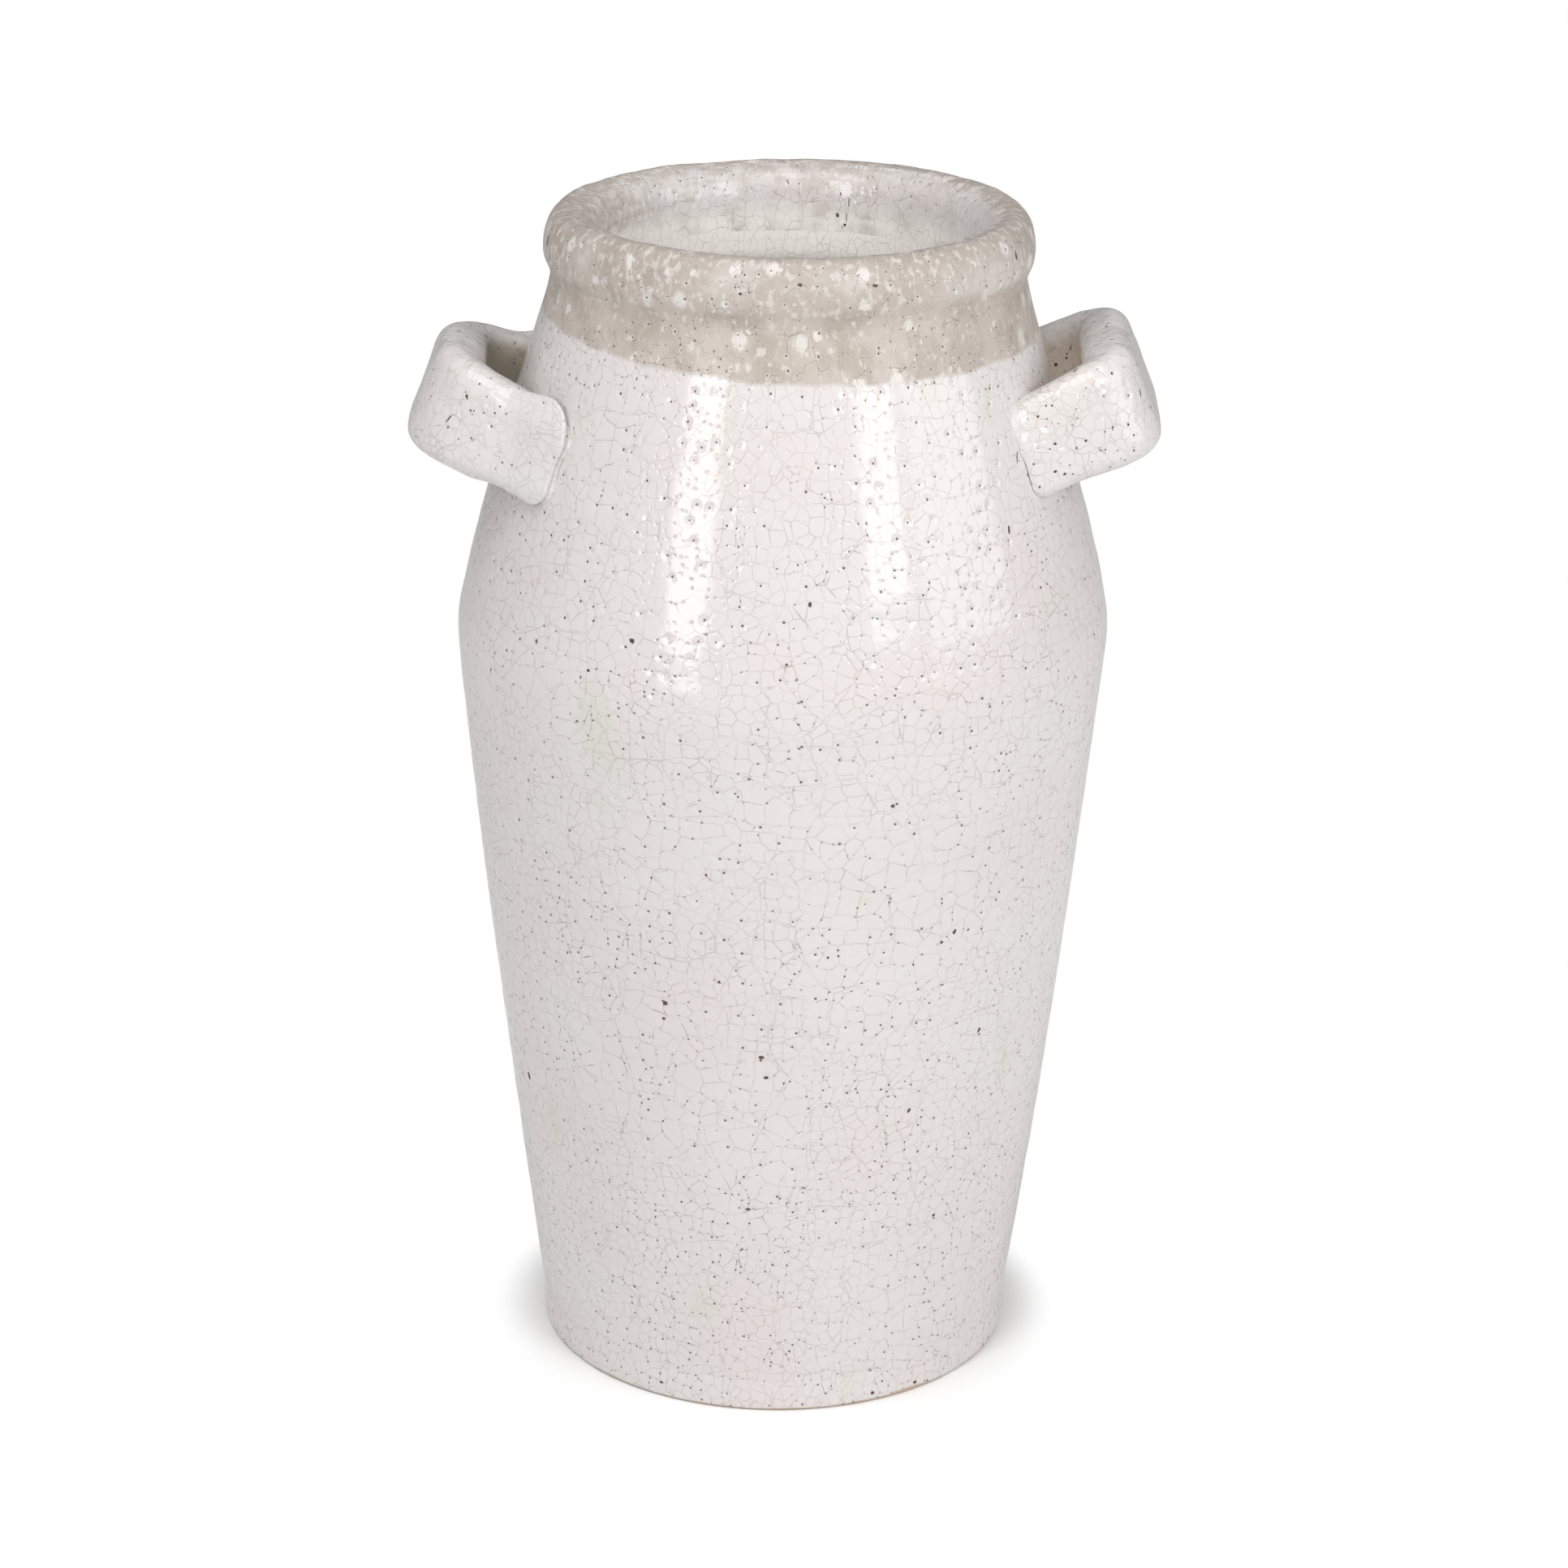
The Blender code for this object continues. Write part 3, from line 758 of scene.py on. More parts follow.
@dataclass(frozen=True)
class StrapShape:
    """Sizes of one strap handle, within a few millimetres of its CAD solid's, and of its worked clay."""

    side: Side
    yaw: float
    drop: float
    reach: float
    root_half_width: float
    bar_half_width: float
    outer_corner: float
    height: float = 0.033
    thickness: float = 0.0140
    bar_thickness: float = 0.0175
    tilt: float = math.radians(22.5)
    slot_corner: float = 0.005
    root_depth: float = 0.020
    edge_radius: float = 0.0064
    edge_angle: float = math.radians(50)
    seat_depth: float = 0.0010
    voxel: float = 0.00078
    seat_run: float = 0.012
    top_root: float = 0.0008
    top_bar: float = 0.0027
    bottom_root: float = 0.0036
    bottom_bar: float = -0.0016
    tuck: float = 0.0
    tuck_run: tuple[float, float] = (-0.010, 0.006)
    flare: float = 0.0090
    flare_run: tuple[float, float] = (0.0010, 0.0110)
    flare_fold: float = 0.38
    flare_fold_run: float = 0.0020
    top_flare: float = 0.45
    slot_flare: float = 0.0014
    merge: float = 0.0
    merge_flare: float = 0.0036
    merge_run: float = 0.010
    merge_heights: tuple[float, float] = (-0.1, 0.7)
    # The next two settings give the slot's inner faces painted shade that fades out towards the top edge; a
    # negative strength paints light there instead.
    slot_shade_or_light: float = 1.0
    slot_top: float = 0.78
    lump: float = 0.0006

    @property
    def name(self) -> str:
        """Name of the side, as the CAD nodes have it."""
        return self.side.name.lower()


LEFT_STRAP = StrapShape(Side.LEFT, math.radians(1.5), 0.0478, 0.0296, 0.0425, 0.0255, 0.0155, tuck=0.0048)
# The right strap's slot gets painted light, the left strap's slot painted shade.
RIGHT_STRAP = StrapShape(Side.RIGHT, math.radians(-2.5), 0.0432, 0.0299, 0.0445, 0.0378, 0.0160, flare=0.0025,
                         bottom_root=0.0020, merge=1.0, slot_shade_or_light=-1.0, slot_top=0.45)


class StrapHandle:
    """One strap of clay bent to a U, standing on edge and luted to the shoulder."""

    def __init__(self, shape: VaseShape, strap: StrapShape) -> None:
        """Keeps the vase's shape and the strap's sizes."""
        self.shape = shape
        self.strap = strap

    def place(self) -> Matrix:
        """Returns the strap's frame: X away from the wall, Y along the bar, Z its height."""
        strap = self.strap
        height = self.shape.neck_height - strap.drop
        half_turn = 0.0 if strap.side is Side.RIGHT else math.pi
        seat = Matrix.Translation((self.shape.cone_radius(height), 0.0, height))
        return Matrix.Rotation(half_turn + strap.yaw, 4, "Z") @ seat @ Matrix.Rotation(-strap.tilt, 4, "Y")

    def corners(self) -> list[Vector]:
        """Lays out the bent strap in its own plane.

        Returns:
            The eight corners of its outline, the outer four first.
        """
        strap = self.strap
        along = Vector((strap.reach, strap.bar_half_width - strap.root_half_width)).normalized()
        bar = Vector((strap.reach, strap.bar_half_width))
        root = bar - along * ((strap.reach + strap.root_depth) / along.x)
        slot_root = root - Vector((0.0, strap.thickness / along.x))
        slot = slot_root + along * ((strap.reach - strap.bar_thickness + strap.root_depth) / along.x)
        flip = Vector((1.0, -1.0))
        return [root, bar, bar * flip, root * flip, slot_root * flip, slot * flip, slot, slot_root]

    def outline(self, name: str) -> Piece:
        """Draws the strap's outline and rounds its corners.

        Args:
            name: Name of the piece.

        Returns:
            The flat outline.
        """
        strap = self.strap
        corners = self.corners()
        start = Vector((*corners[0], -strap.height / 2))
        steps = [(*(there - here), 0.0) for here, there in zip(corners, corners[1:] + corners[:1])]
        piece = Workbench.draw(name, start, steps, 5 * WELD_GAP)
        self.round_corners(piece, corners[1:3], strap.outer_corner, 12)
        self.round_corners(piece, corners[5:7], strap.slot_corner, 6)
        return piece

    def round_corners(self, piece: Piece, corners: list[Vector], radius: float, steps: int) -> None:
        """Rounds the outline's corners that lie at the given places.

        Args:
            piece: The flat outline.
            corners: Corners in the strap's plane.
            radius: Radius of the rounding.
            steps: Number of steps round a corner.
        """
        Workbench.pick(piece)
        with Workbench.editing():
            bpy.ops.mesh.select_mode(type="VERT")
            bpy.ops.mesh.select_all(action="DESELECT")
        for point in piece.data.vertices:
            point.select = any((point.co.xy - corner).length < MILLIMETRE / 2 for corner in corners)
        bpy.ops.object.mode_set(mode="EDIT")
        bpy.ops.mesh.bevel(offset=radius, offset_type="OFFSET", segments=steps, affect="VERTICES")
        bpy.ops.object.mode_set(mode="OBJECT")

    def raise_prism(self, piece: Piece) -> None:
        """Fills the outline and raises it to the strap's height.

        Args:
            piece: The flat outline.
        """
        Workbench.pick(piece)
        with Workbench.editing():
            bpy.ops.mesh.edge_face_add()
            rise_step = (0.0, 0.0, self.strap.height)
            bpy.ops.mesh.extrude_region_move(TRANSFORM_OT_translate={"value": rise_step})
            bpy.ops.mesh.select_all(action="SELECT")
            bpy.ops.mesh.normals_make_consistent(inside=False)

    def wall_core(self) -> Piece:
        """Turns the body of the wall that the strap's ends are trimmed to.

        Returns:
            The body, which is removed again once the strap is trimmed.
        """
        shape = self.shape
        heights = spread(0.27, shape.neck_height, 30)
        rings = [(shape.outer_radius(z) - self.strap.seat_depth, z) for z in heights]
        return Workbench.turn("wall_core", [(0.0, heights[0]), *rings, (0.0, heights[-1])], 256)

    def build(self) -> Piece:
        """Builds the strap and seats it on the wall.

        Returns:
            The strap with its place in its mesh.
        """
        strap = self.strap
        piece = self.outline("strap_" + strap.name)
        self.raise_prism(piece)
        piece.data.name = piece.name
        piece.matrix_world = self.place()
        bpy.context.view_layer.update()
        Workbench.apply_place(piece)
        core = self.wall_core()
        Workbench.modify(piece, "soft_edges", "BEVEL", width=strap.edge_radius, segments=5,
                         limit_method="ANGLE", angle_limit=strap.edge_angle, use_clamp_overlap=False)
        Workbench.modify(piece, "seat", "BOOLEAN", operation="DIFFERENCE", object=core, solver="EXACT")
        Workbench.modify(piece, "clay", "REMESH", mode="VOXEL", voxel_size=strap.voxel, use_smooth_shade=True)
        Workbench.modify(piece, "wet_sponge", "SMOOTH", factor=0.5, iterations=7)
        Workbench.apply_modifiers(piece)
        bpy.data.objects.remove(core, do_unlink=True)
        self.work_clay(piece)
        Workbench.pick(piece)
        bpy.ops.object.shade_smooth()
        return piece

    def stretch(self, local: Vector, high: float) -> float:
        """Returns how far the clay is drawn up or pressed down at the strap's edges.

        Args:
            local: Point in the strap's frame.
            high: Place between the strap's lower edge, -1, and its upper edge, 1.

        Returns:
            The change of the strap's half height there.
        """
        strap = self.strap
        out = clamp((local.x + strap.seat_run) / (strap.reach + strap.seat_run))
        if high > 0:
            return strap.top_root + (strap.top_bar - strap.top_root) * out
        tuck = strap.tuck * (1 - rise(local.x, *strap.tuck_run))
        return -(strap.bottom_root + (strap.bottom_bar - strap.bottom_root) * out + tuck)

    def spread_out(self, high: float, proud: float) -> float:
        """Returns how far the strap's end is spread along the wall.

        Args:
            high: Place between the strap's lower edge, -1, and its upper edge, 1.
            proud: Distance from the wall.

        Returns:
            The spread on the side that is turned away from the slot.
        """
        strap = self.strap
        near = 1 - rise(proud, *strap.flare_run)
        fold = 1 - strap.flare_fold * (1 - rise(proud, 0.0, strap.flare_fold_run))
        merge = strap.merge * rise(high, *strap.merge_heights)
        spill = clamp(1 - proud / strap.merge_run) ** 8
        return (1 - merge) * strap.flare * near * fold + merge * strap.merge_flare * spill

    def work_clay(self, piece: Piece) -> None:
        """Spreads the strap's ends onto the wall, leaves the fingers' marks in the clay and stores painted shade or
        painted light for the slot's inner faces.

        Args:
            piece: The smooth strap.
        """
        strap = self.strap
        shape = self.shape
        seat = self.place()
        inverse = seat.inverted()
        turn_back = inverse.to_3x3()
        upward = seat.to_3x3() @ Vector((0, 0, 1))
        lean = shape.wall_normal(shape.neck_height - strap.drop)
        moved, shades = [], []
        for point in piece.data.vertices:
            place, normal = point.co.copy(), point.normal.copy()
            local = inverse @ place
            own = turn_back @ normal
            high = clamp(local.z / (strap.height / 2), -1.0)
            place += upward * high * self.stretch(local, high)
            radius = max(math.hypot(place.x, place.y), 1e-6)
            proud = (radius - shape.outer_radius(min(place.z, shape.neck_height))) * lean[0]
            wall = Vector((place.x / radius * lean[0], place.y / radius * lean[0], lean[1]))
            sideways = normal - wall * normal.dot(wall)
            if sideways.length > 0.2:
                amount = abs(own.y) * (1.0 if local.y * own.y > 0 else strap.slot_flare / strap.flare)
                amount *= 1.0 + strap.top_flare * rise(high, 0.1, 1.0) * (1 - strap.merge)
                place += sideways.normalized() * amount * self.spread_out(high, proud)
            lumps = noise.noise(place * 48) + 0.35 * noise.noise(place * 120) + 0.14 * noise.noise(place * 260)
            moved.append(place + normal * strap.lump * (lumps + 0.15))
            # Painted shade on the slot's inner faces, less towards the top edge; a negative strength makes it
            # painted light. It is kept as the slot_shade attribute.
            inward = max(-own.x if local.x > 0.0 else 0.0, -own.y if local.y > 0.0 else own.y)
            shade = rise(inward, 0.25, 0.8) * (1 - rise(high, strap.slot_top, 1.0))
            shades.append(shade * strap.slot_shade_or_light)
        for point, place in zip(piece.data.vertices, moved):
            point.co = place
        piece.data.attributes.new("slot_shade", "FLOAT", "POINT").data.foreach_set("value", shades)
        piece.data.update()


class LutingSeams:
    """Dark hair seams where the luted strap ends meet the wall."""

    width: float = 0.00024
    lengths: int = 220
    least_points: int = 60

    def crossings(self, strap: Piece, wall: BVHTree) -> list[list[Vector]]:
        """Finds the closed lines on which a strap leaves the wall.

        Args:
            strap: The finished strap.
            wall: Search tree of the finished wall.

        Returns:
            One closed line of points for each root of the strap.
        """
        mesh = bmesh.new()
        mesh.from_mesh(strap.data)
        mesh.verts.ensure_lookup_table()
        proud = []
        for vert in mesh.verts:
            near, normal, _, _ = wall.find_nearest(vert.co, 0.02)
            proud.append(1.0 if near is None else (vert.co - near).dot(normal))
        points = {}
        for edge in mesh.edges:
            low, high = proud[edge.verts[0].index], proud[edge.verts[1].index]
            if (low > 0) != (high > 0):
                share = low / (low - high)
                points[edge.index] = edge.verts[0].co.lerp(edge.verts[1].co, share)
        links: dict[int, list[int]] = {key: [] for key in points}
        for face in mesh.faces:
            cut = [edge.index for edge in face.edges if edge.index in points]
            if len(cut) == 2:
                links[cut[0]].append(cut[1])
                links[cut[1]].append(cut[0])
        mesh.free()
        lines = []
        unused = set(points)
        while unused:
            current = unused.pop()
            line = [current]
            while True:
                onward = [key for key in links[current] if key in unused]
                if not onward:
                    break
                current = onward[0]
                unused.discard(current)
                line.append(current)
            if len(line) > self.least_points:
                lines.append([points[key] for key in line])
        return lines

    def even(self, line: list[Vector]) -> np.ndarray:
        """Spaces a closed line's points evenly and takes the jitter out of it.

        Args:
            line: Points of the line.

        Returns:
            One row of x, y and z for each new point.
        """
        path = np.array([tuple(point) for point in line])
        ring = np.vstack((path, path[:1]))
        run = np.concatenate(([0.0], np.cumsum(np.linalg.norm(np.diff(ring, axis=0), axis=1))))
        wanted = np.linspace(0.0, run[-1], self.lengths, endpoint=False)
        spaced = np.stack([np.interp(wanted, run, ring[:, axis]) for axis in range(3)], axis=1)
        for _ in range(3):
            spaced = (np.roll(spaced, 1, axis=0) + 2 * spaced + np.roll(spaced, -1, axis=0)) / 4
        return spaced

    def build(self, name: str, line: list[Vector], salt: float, merge: float) -> Piece:
        """Lays a thread of dark slip along one seam.

        Args:
            name: Name of the piece.
            line: Closed line that the seam follows.
            salt: Number that makes this seam's unevenness its own.
            merge: How far the seam's upper half is smoothed away, 0 to 1.

        Returns:
            The seam with its place in its mesh.
        """
        path = self.even(line)
        Workbench.clear()
        bpy.ops.mesh.primitive_circle_add(vertices=self.lengths, radius=0.02, location=tuple(path.mean(axis=0)))
        piece = bpy.context.object
        piece.name = name
        Workbench.apply_place(piece)
        piece.data.vertices.foreach_set("co", path.ravel())
        bpy.ops.object.convert(target="CURVE")
        curve = piece.data
        curve.bevel_depth = self.width
        curve.bevel_resolution = 2
        curve.use_fill_caps = True
        for spline in curve.splines:
            for point in spline.points:
                wave = noise.noise(Vector(point.co[:3]) * 80 + Vector((salt, 0, 0)))
                smoothed = merge * rise(point.co[2] - path[:, 2].mean().item(), -0.004, 0.004)
                point.radius = clamp(0.35 + 1.6 * wave, 0.06, 1.1) * (1 - 0.9 * smoothed)
        bpy.ops.object.convert(target="MESH")
        piece = bpy.context.object
        piece.data.name = name
        with Workbench.editing():
            Workbench.weld(WELD_GAP / 2)
            bpy.ops.mesh.normals_make_consistent(inside=False)
        bpy.ops.object.shade_smooth()
        Workbench.apply_place(piece)
        return piece


class GlazeChips:
    """Small dark chips and open cracks where the glaze shows the clay."""

    corners: int = 14
    inset: float = 0.16
    proud: float = 0.00006
    crown: float = 1.4
    depth: float = 0.0004
    sight_reach: float = 3.0
    press_reach: float = 0.003

    def __init__(self, view: PhotoView, chips: tuple[Chip, ...]) -> None:
        """Keeps the camera's view and the chips to lay."""
        self.view = view
        self.chips = chips

    def strike(self, trees: list[BVHTree], eye: Vector, away: Vector, reach: float) -> tuple | None:
        """Looks along a line for the glaze.

        Args:
            trees: Search trees of the glazed pieces.
            eye: Start of the line.
            away: Direction of the line.
            reach: Length of the line.

        Returns:
            The nearest (distance, point, normal) that the line meets, or None.
        """
        hits = []
        for tree in trees:
            point, normal, _, distance = tree.ray_cast(eye, away, reach)
            if point is not None:
                hits.append((distance, point, normal))
        return min(hits, key=lambda hit: hit[0]) if hits else None

    def build(self, trees: list[BVHTree]) -> Piece:
        """Lays every chip on the glaze, joins them and gives them a body under the glaze.

        Args:
            trees: Search trees of the glazed pieces.

        Returns:
            All the chips as one piece.
        """
        laid = []
        for number, chip in enumerate(self.chips):
            eye, away = self.view.sight(chip.u, chip.v)
            if chip.behind:
                eye, away = eye.copy(), away.copy()
                eye.y, away.y = -eye.y, -away.y
            hit = self.strike(trees, eye, away, self.sight_reach)
            if hit is None:
                LOG.warning("no glaze at pixel %s, %s", chip.u, chip.v)
                continue
            laid.append(self.lay(number, chip, hit[1], hit[2], trees))
        Workbench.pick(laid[0])
        for piece in laid:
            piece.select_set(True)
        bpy.ops.object.join()
        whole = bpy.context.object
        whole.name = whole.data.name = "glaze_chips"
        Workbench.apply_place(whole)
        Workbench.modify(whole, "body", "SOLIDIFY", thickness=self.depth, offset=-1)
        Workbench.apply_modifiers(whole)
        return whole

    def lay(self, number: int, chip: Chip, point: Vector, normal: Vector, trees: list[BVHTree]) -> Piece:
        """Shapes one chip and presses it onto the glaze.

        Args:
            number: Number of the chip, for its own ragged outline.
            chip: Size and lean of the chip.
            point: Middle of the chip on the glaze.
            normal: Outward normal of the glaze there.
            trees: Search trees of the glazed pieces.

        Returns:
            The chip with its place in its mesh.
        """
        up = (Vector((0, 0, 1)) - normal * normal.z).normalized()
        side = up.cross(normal).normalized()
        turned = Matrix.Rotation(math.radians(chip.lean), 3, normal)
        up, side = turned @ up, turned @ side
        Workbench.clear()
        bpy.ops.mesh.primitive_circle_add(vertices=self.corners, radius=0.5, fill_type="NGON")
        piece = bpy.context.object
        piece.name = f"chip_{number}"
        with Workbench.editing():
            bpy.ops.mesh.inset(thickness=self.inset)
            bpy.ops.mesh.poke()
        for place in piece.data.vertices:
            flat = place.co.copy()
            ragged = 1 + 0.42 * noise.noise(Vector((flat.x * 3.1, flat.y * 3.1, number * 7.3)))
            target = point + side * flat.x * ragged * chip.width + up * flat.y * ragged * chip.height
            hit = self.strike(trees, target + normal * self.press_reach, -normal, 2 * self.press_reach)
            sunk = self.proud if flat.length > 0.45 else self.proud * self.crown
            place.co = (hit[1] if hit else target) + normal * sunk
        piece.data.update()
        bpy.ops.object.shade_smooth()
        return piece


class Recipe:
    """A node tree that is being filled, with short names for the steps used most."""

    def __init__(self, tree: Tree, flat: bool = False) -> None:
        """Keeps the tree, and whether its patterns lie on a flat map."""
        self.tree = tree
        self.dimensions = Mapping.WRAPPED.value if flat else Mapping.SOLID.value

    def node(self, kind: str, feed: dict[str | int, object] | None = None, **settings: object) -> Node:
        """Adds a node.

        Args:
            kind: Blender's name for the node.
            feed: What goes into its sockets, by name or number.
            settings: Values of its own settings.

        Returns:
            The node.
        """
        made = self.tree.nodes.new(kind)
        for key, value in settings.items():
            setattr(made, key, value)
        for key, value in (feed or {}).items():
            self.put(made.inputs[key], value)
        return made

    def put(self, socket: Socket, value: object) -> None:
        """Links a socket to another, or gives it a plain value."""
        if isinstance(value, Socket):
            self.tree.links.new(value, socket)
        else:
            socket.default_value = value

    def maths(self, operation: str, *values: object) -> Socket:
        """Returns the result of a calculation on plain numbers."""
        return self.node("ShaderNodeMath", dict(enumerate(values)), operation=operation).outputs[0]

    def times(self, first: object, second: object) -> Socket:
        """Returns the product of two values."""
        return self.maths("MULTIPLY", first, second)

    def plus(self, first: object, second: object) -> Socket:
        """Returns the sum of two values."""
        return self.maths("ADD", first, second)

    def less(self, first: object, second: object) -> Socket:
        """Returns one value less another."""
        return self.maths("SUBTRACT", first, second)

    def most(self, first: object, second: object) -> Socket:
        """Returns the larger of two values."""
        return self.maths("MAXIMUM", first, second)

    def vector(self, operation: str, *values: object) -> Socket:
        """Returns the result of a calculation on vectors."""
        made = self.node("ShaderNodeVectorMath", dict(enumerate(values)), operation=operation)
        return made.outputs["Value" if operation == "LENGTH" else "Vector"]

    def scaled(self, vector: Socket, factor: object) -> Socket:
        """Returns a vector times a number."""
        return self.node("ShaderNodeVectorMath", {0: vector, "Scale": factor}, operation="SCALE").outputs["Vector"]

    def shaken(self, place: Socket, density: float, reach: object) -> Socket:
        """Returns a place that is pushed about by a cloudy pattern."""
        push = self.vector("SUBTRACT", self.cloud(place, density, 2.0, "Color"), GREY)
        return self.vector("ADD", place, self.scaled(push, reach))

    def step(self, value: Socket, low: object, high: object, first: float = 0.0, last: float = 1.0) -> Socket:
        """Returns a smooth step of a value between two limits.

        Args:
            value: The value.
            low: Limit at which the result is first.
            high: Limit at which the result is last.
            first: Result below the low limit.
            last: Result above the high limit.

        Returns:
            The stepped value.
        """
        names = ("Value", "From Min", "From Max", "To Min", "To Max")
        feed = dict(zip(names, (value, low, high, first, last)))
        return self.node("ShaderNodeMapRange", feed, interpolation_type="SMOOTHSTEP").outputs["Result"]

    def cells(self, vector: Socket, density: object, feature: str, output: str = "Distance") -> Socket:
        """Returns a fairly even cell pattern: its feature at so many cells to the metre."""
        feed = {"Vector": vector, "Scale": density, "Randomness": 0.82}
        made = self.node("ShaderNodeTexVoronoi", feed, voronoi_dimensions=self.dimensions, feature=feature)
        return made.outputs[output]

    def cloud(self, vector: Socket, density: float, detail: float = 2.0, output: str = "Fac") -> Socket:
        """Returns a cloudy pattern of so many clouds to the metre."""
        feed = {"Vector": vector, "Scale": density, "Detail": detail}
        return self.node("ShaderNodeTexNoise", feed, noise_dimensions=self.dimensions).outputs[output]

    def tint(self, share: object, first: object, second: object) -> Socket:
        """Returns two colours mixed by a share."""
        return self.node("ShaderNodeMix", {0: share, 6: first, 7: second}, data_type="RGBA").outputs[2]

    def swap(self, share: object, first: object, second: object) -> Socket:
        """Returns two numbers mixed by a share."""
        return self.node("ShaderNodeMix", {0: share, 2: first, 3: second}, data_type="FLOAT").outputs[0]

    def axis(self, vector: Socket, name: str) -> Socket:
        """Returns one part of a vector."""
        return self.node("ShaderNodeSeparateXYZ", {0: vector}).outputs[name]

    def stretched(self, vector: Socket, scale: tuple[float, float, float]) -> Socket:
        """Returns a pattern's place, stretched along its axes."""
        return self.node("ShaderNodeMapping", {"Vector": vector, "Scale": scale}).outputs["Vector"]

    def bump(self, height: Socket, distance: float) -> Socket:
        """Returns a normal that leans with a height, given in shares of a distance in metres."""
        return self.node("ShaderNodeBump", {"Strength": 1.0, "Distance": distance, "Height": height}).outputs[0]


def start_material(name: str, flat: bool = False) -> tuple[bpy.types.Material, Recipe, Node, Socket]:
    """Starts a material.

    Args:
        name: Name of the material.
        flat: Whether its patterns lie on a flat map.

    Returns:
        The material, its recipe, its shader and its Object coordinates.
    """
    material = bpy.data.materials.new(name)
    material.use_nodes = True
    recipe = Recipe(material.node_tree, flat)
    shader = material.node_tree.nodes["Principled BSDF"]
    return material, recipe, shader, recipe.node("ShaderNodeTexCoord").outputs["Object"]


class GlazeEffects:
    """Shared effects of the glazes, each a node group built once for each mapping."""

    def __init__(self) -> None:
        """Starts with no groups built."""
        self.groups: dict[str, Tree] = {}

    def start(self, name: str, mapping: Mapping, inputs: dict[str, float | None],
              outputs: tuple[str, ...]) -> tuple[Recipe, list[Socket], Node]:
        """Starts a group with its sockets.

        Args:
            name: Name of the group.
            mapping: How its patterns lie on a piece.
            inputs: First value of each input; None stands for a place.
            outputs: Names of the numbers that come out.

        Returns:
            The recipe, the sockets that come in and the output node.
        """
        tree = bpy.data.node_groups.new(name, "ShaderNodeTree")
        for key, value in inputs.items():
            kind = "NodeSocketVector" if value is None else "NodeSocketFloat"
            made = tree.interface.new_socket(key, in_out="INPUT", socket_type=kind)
            if value is not None:
                made.default_value = value
        for key in outputs:
            tree.interface.new_socket(key, in_out="OUTPUT", socket_type="NodeSocketFloat")
        self.groups[name] = tree
        recipe = Recipe(tree, mapping is Mapping.WRAPPED)
        given = recipe.node("NodeGroupInput").outputs
        return recipe, [given[key] for key in inputs], recipe.node("NodeGroupOutput")

    def crackle(self, mapping: Mapping) -> Tree:
        """Crackle lines: long first cracks, with shorter ones that end on them.

        Args:
            mapping: How the pattern lies on a piece.

        Returns:
            A group that gives Line, from 0 to 1, and Gap, the metres to the nearest crack.
        """
        name = "crackle_" + mapping.name.lower()
        if name in self.groups:
            return self.groups[name]
        inputs = {"Place": None, "Cell": 0.005, "Width": 0.00022, "Drift": 0.0030}
        recipe, (place, cell, width, drift), out = self.start(name, mapping, inputs, ("Line", "Gap"))
        swayed = recipe.shaken(place, 90.0, drift)
        wide = recipe.times(cell, 2.9)
        wide_density = recipe.maths("DIVIDE", 1.0, wide)
        own = recipe.cells(swayed, wide_density, "F1", "Color")
        first = recipe.times(recipe.cells(swayed, wide_density, "DISTANCE_TO_EDGE"), wide)
        parted = recipe.vector("ADD", swayed, recipe.scaled(own, 0.03))
        density = recipe.maths("DIVIDE", 1.0, cell)
        second = recipe.times(recipe.cells(parted, density, "DISTANCE_TO_EDGE"), cell)
        faint = recipe.step(recipe.cloud(place, 120.0), 0.42, 0.68, 0.34, 1.0)
        lines = [recipe.times(recipe.step(gap, 0.0, width, 1.0, 0.0), faint) for gap in (first, second)]
        recipe.put(out.inputs["Line"], recipe.most(*lines))
        recipe.put(out.inputs["Gap"], recipe.maths("MINIMUM", first, second))
        return recipe.tree

    def pinholes(self, mapping: Mapping) -> Tree:
        """Pinholes in the glaze, each at the bottom of a small dimple.

        Args:
            mapping: How the pattern lies on a piece.

        Returns:
            A group that gives Hole and Dimple, each from 0 to 1.
        """
        name = "pinholes_" + mapping.name.lower()
        if name in self.groups:
            return self.groups[name]
        inputs = {"Place": None, "Spacing": 0.006, "Size": 0.0004, "Amount": 0.5, "Dimple size": 0.0016}
        recipe, given, out = self.start(name, mapping, inputs, ("Hole", "Dimple"))
        place, spacing, size, amount, dimple = given
        feed = {"Vector": place, "Scale": recipe.maths("DIVIDE", 1.0, spacing)}
        made = recipe.node("ShaderNodeTexVoronoi", feed, voronoi_dimensions=recipe.dimensions, feature="F1")
        away = recipe.times(made.outputs["Distance"], spacing)
        own = recipe.node("ShaderNodeSeparateColor", {0: made.outputs["Color"]}).outputs
        kept = recipe.maths("LESS_THAN", own[1], amount)
        bore = recipe.times(size, recipe.step(own[0], 0.0, 1.0, 0.5, 1.5))
        hole = recipe.step(away, recipe.times(bore, 0.45), bore, 1.0, 0.0)
        bowl = recipe.step(away, 0.0, dimple, 1.0, 0.0)
        recipe.put(out.inputs["Hole"], recipe.times(hole, kept))
        recipe.put(out.inputs["Dimple"], recipe.times(bowl, kept))
        return recipe.tree

    def use(self, recipe: Recipe, group: Tree, **values: object) -> bpy.types.NodeOutputs:
        """Places a group in a material with its own values.

        Args:
            recipe: The material's recipe.
            group: The effect.
            values: Values by socket name, with _ for a space.

        Returns:
            What the group gives, by name.
        """
        feed = {key.replace("_", " "): value for key, value in values.items()}
        return recipe.node("ShaderNodeGroup", feed, node_tree=group).outputs


@dataclass(frozen=True)
class Mix:
    """What a glaze is mixed with: its recipe, the shared effects and the coordinates of the piece."""

    recipe: Recipe
    effects: GlazeEffects
    solid: Socket
    place: Socket


class Band(Enum):
    """Where the taupe glaze lies on a piece."""

    NONE = 0
    COLLAR = 1
    LIP = 2


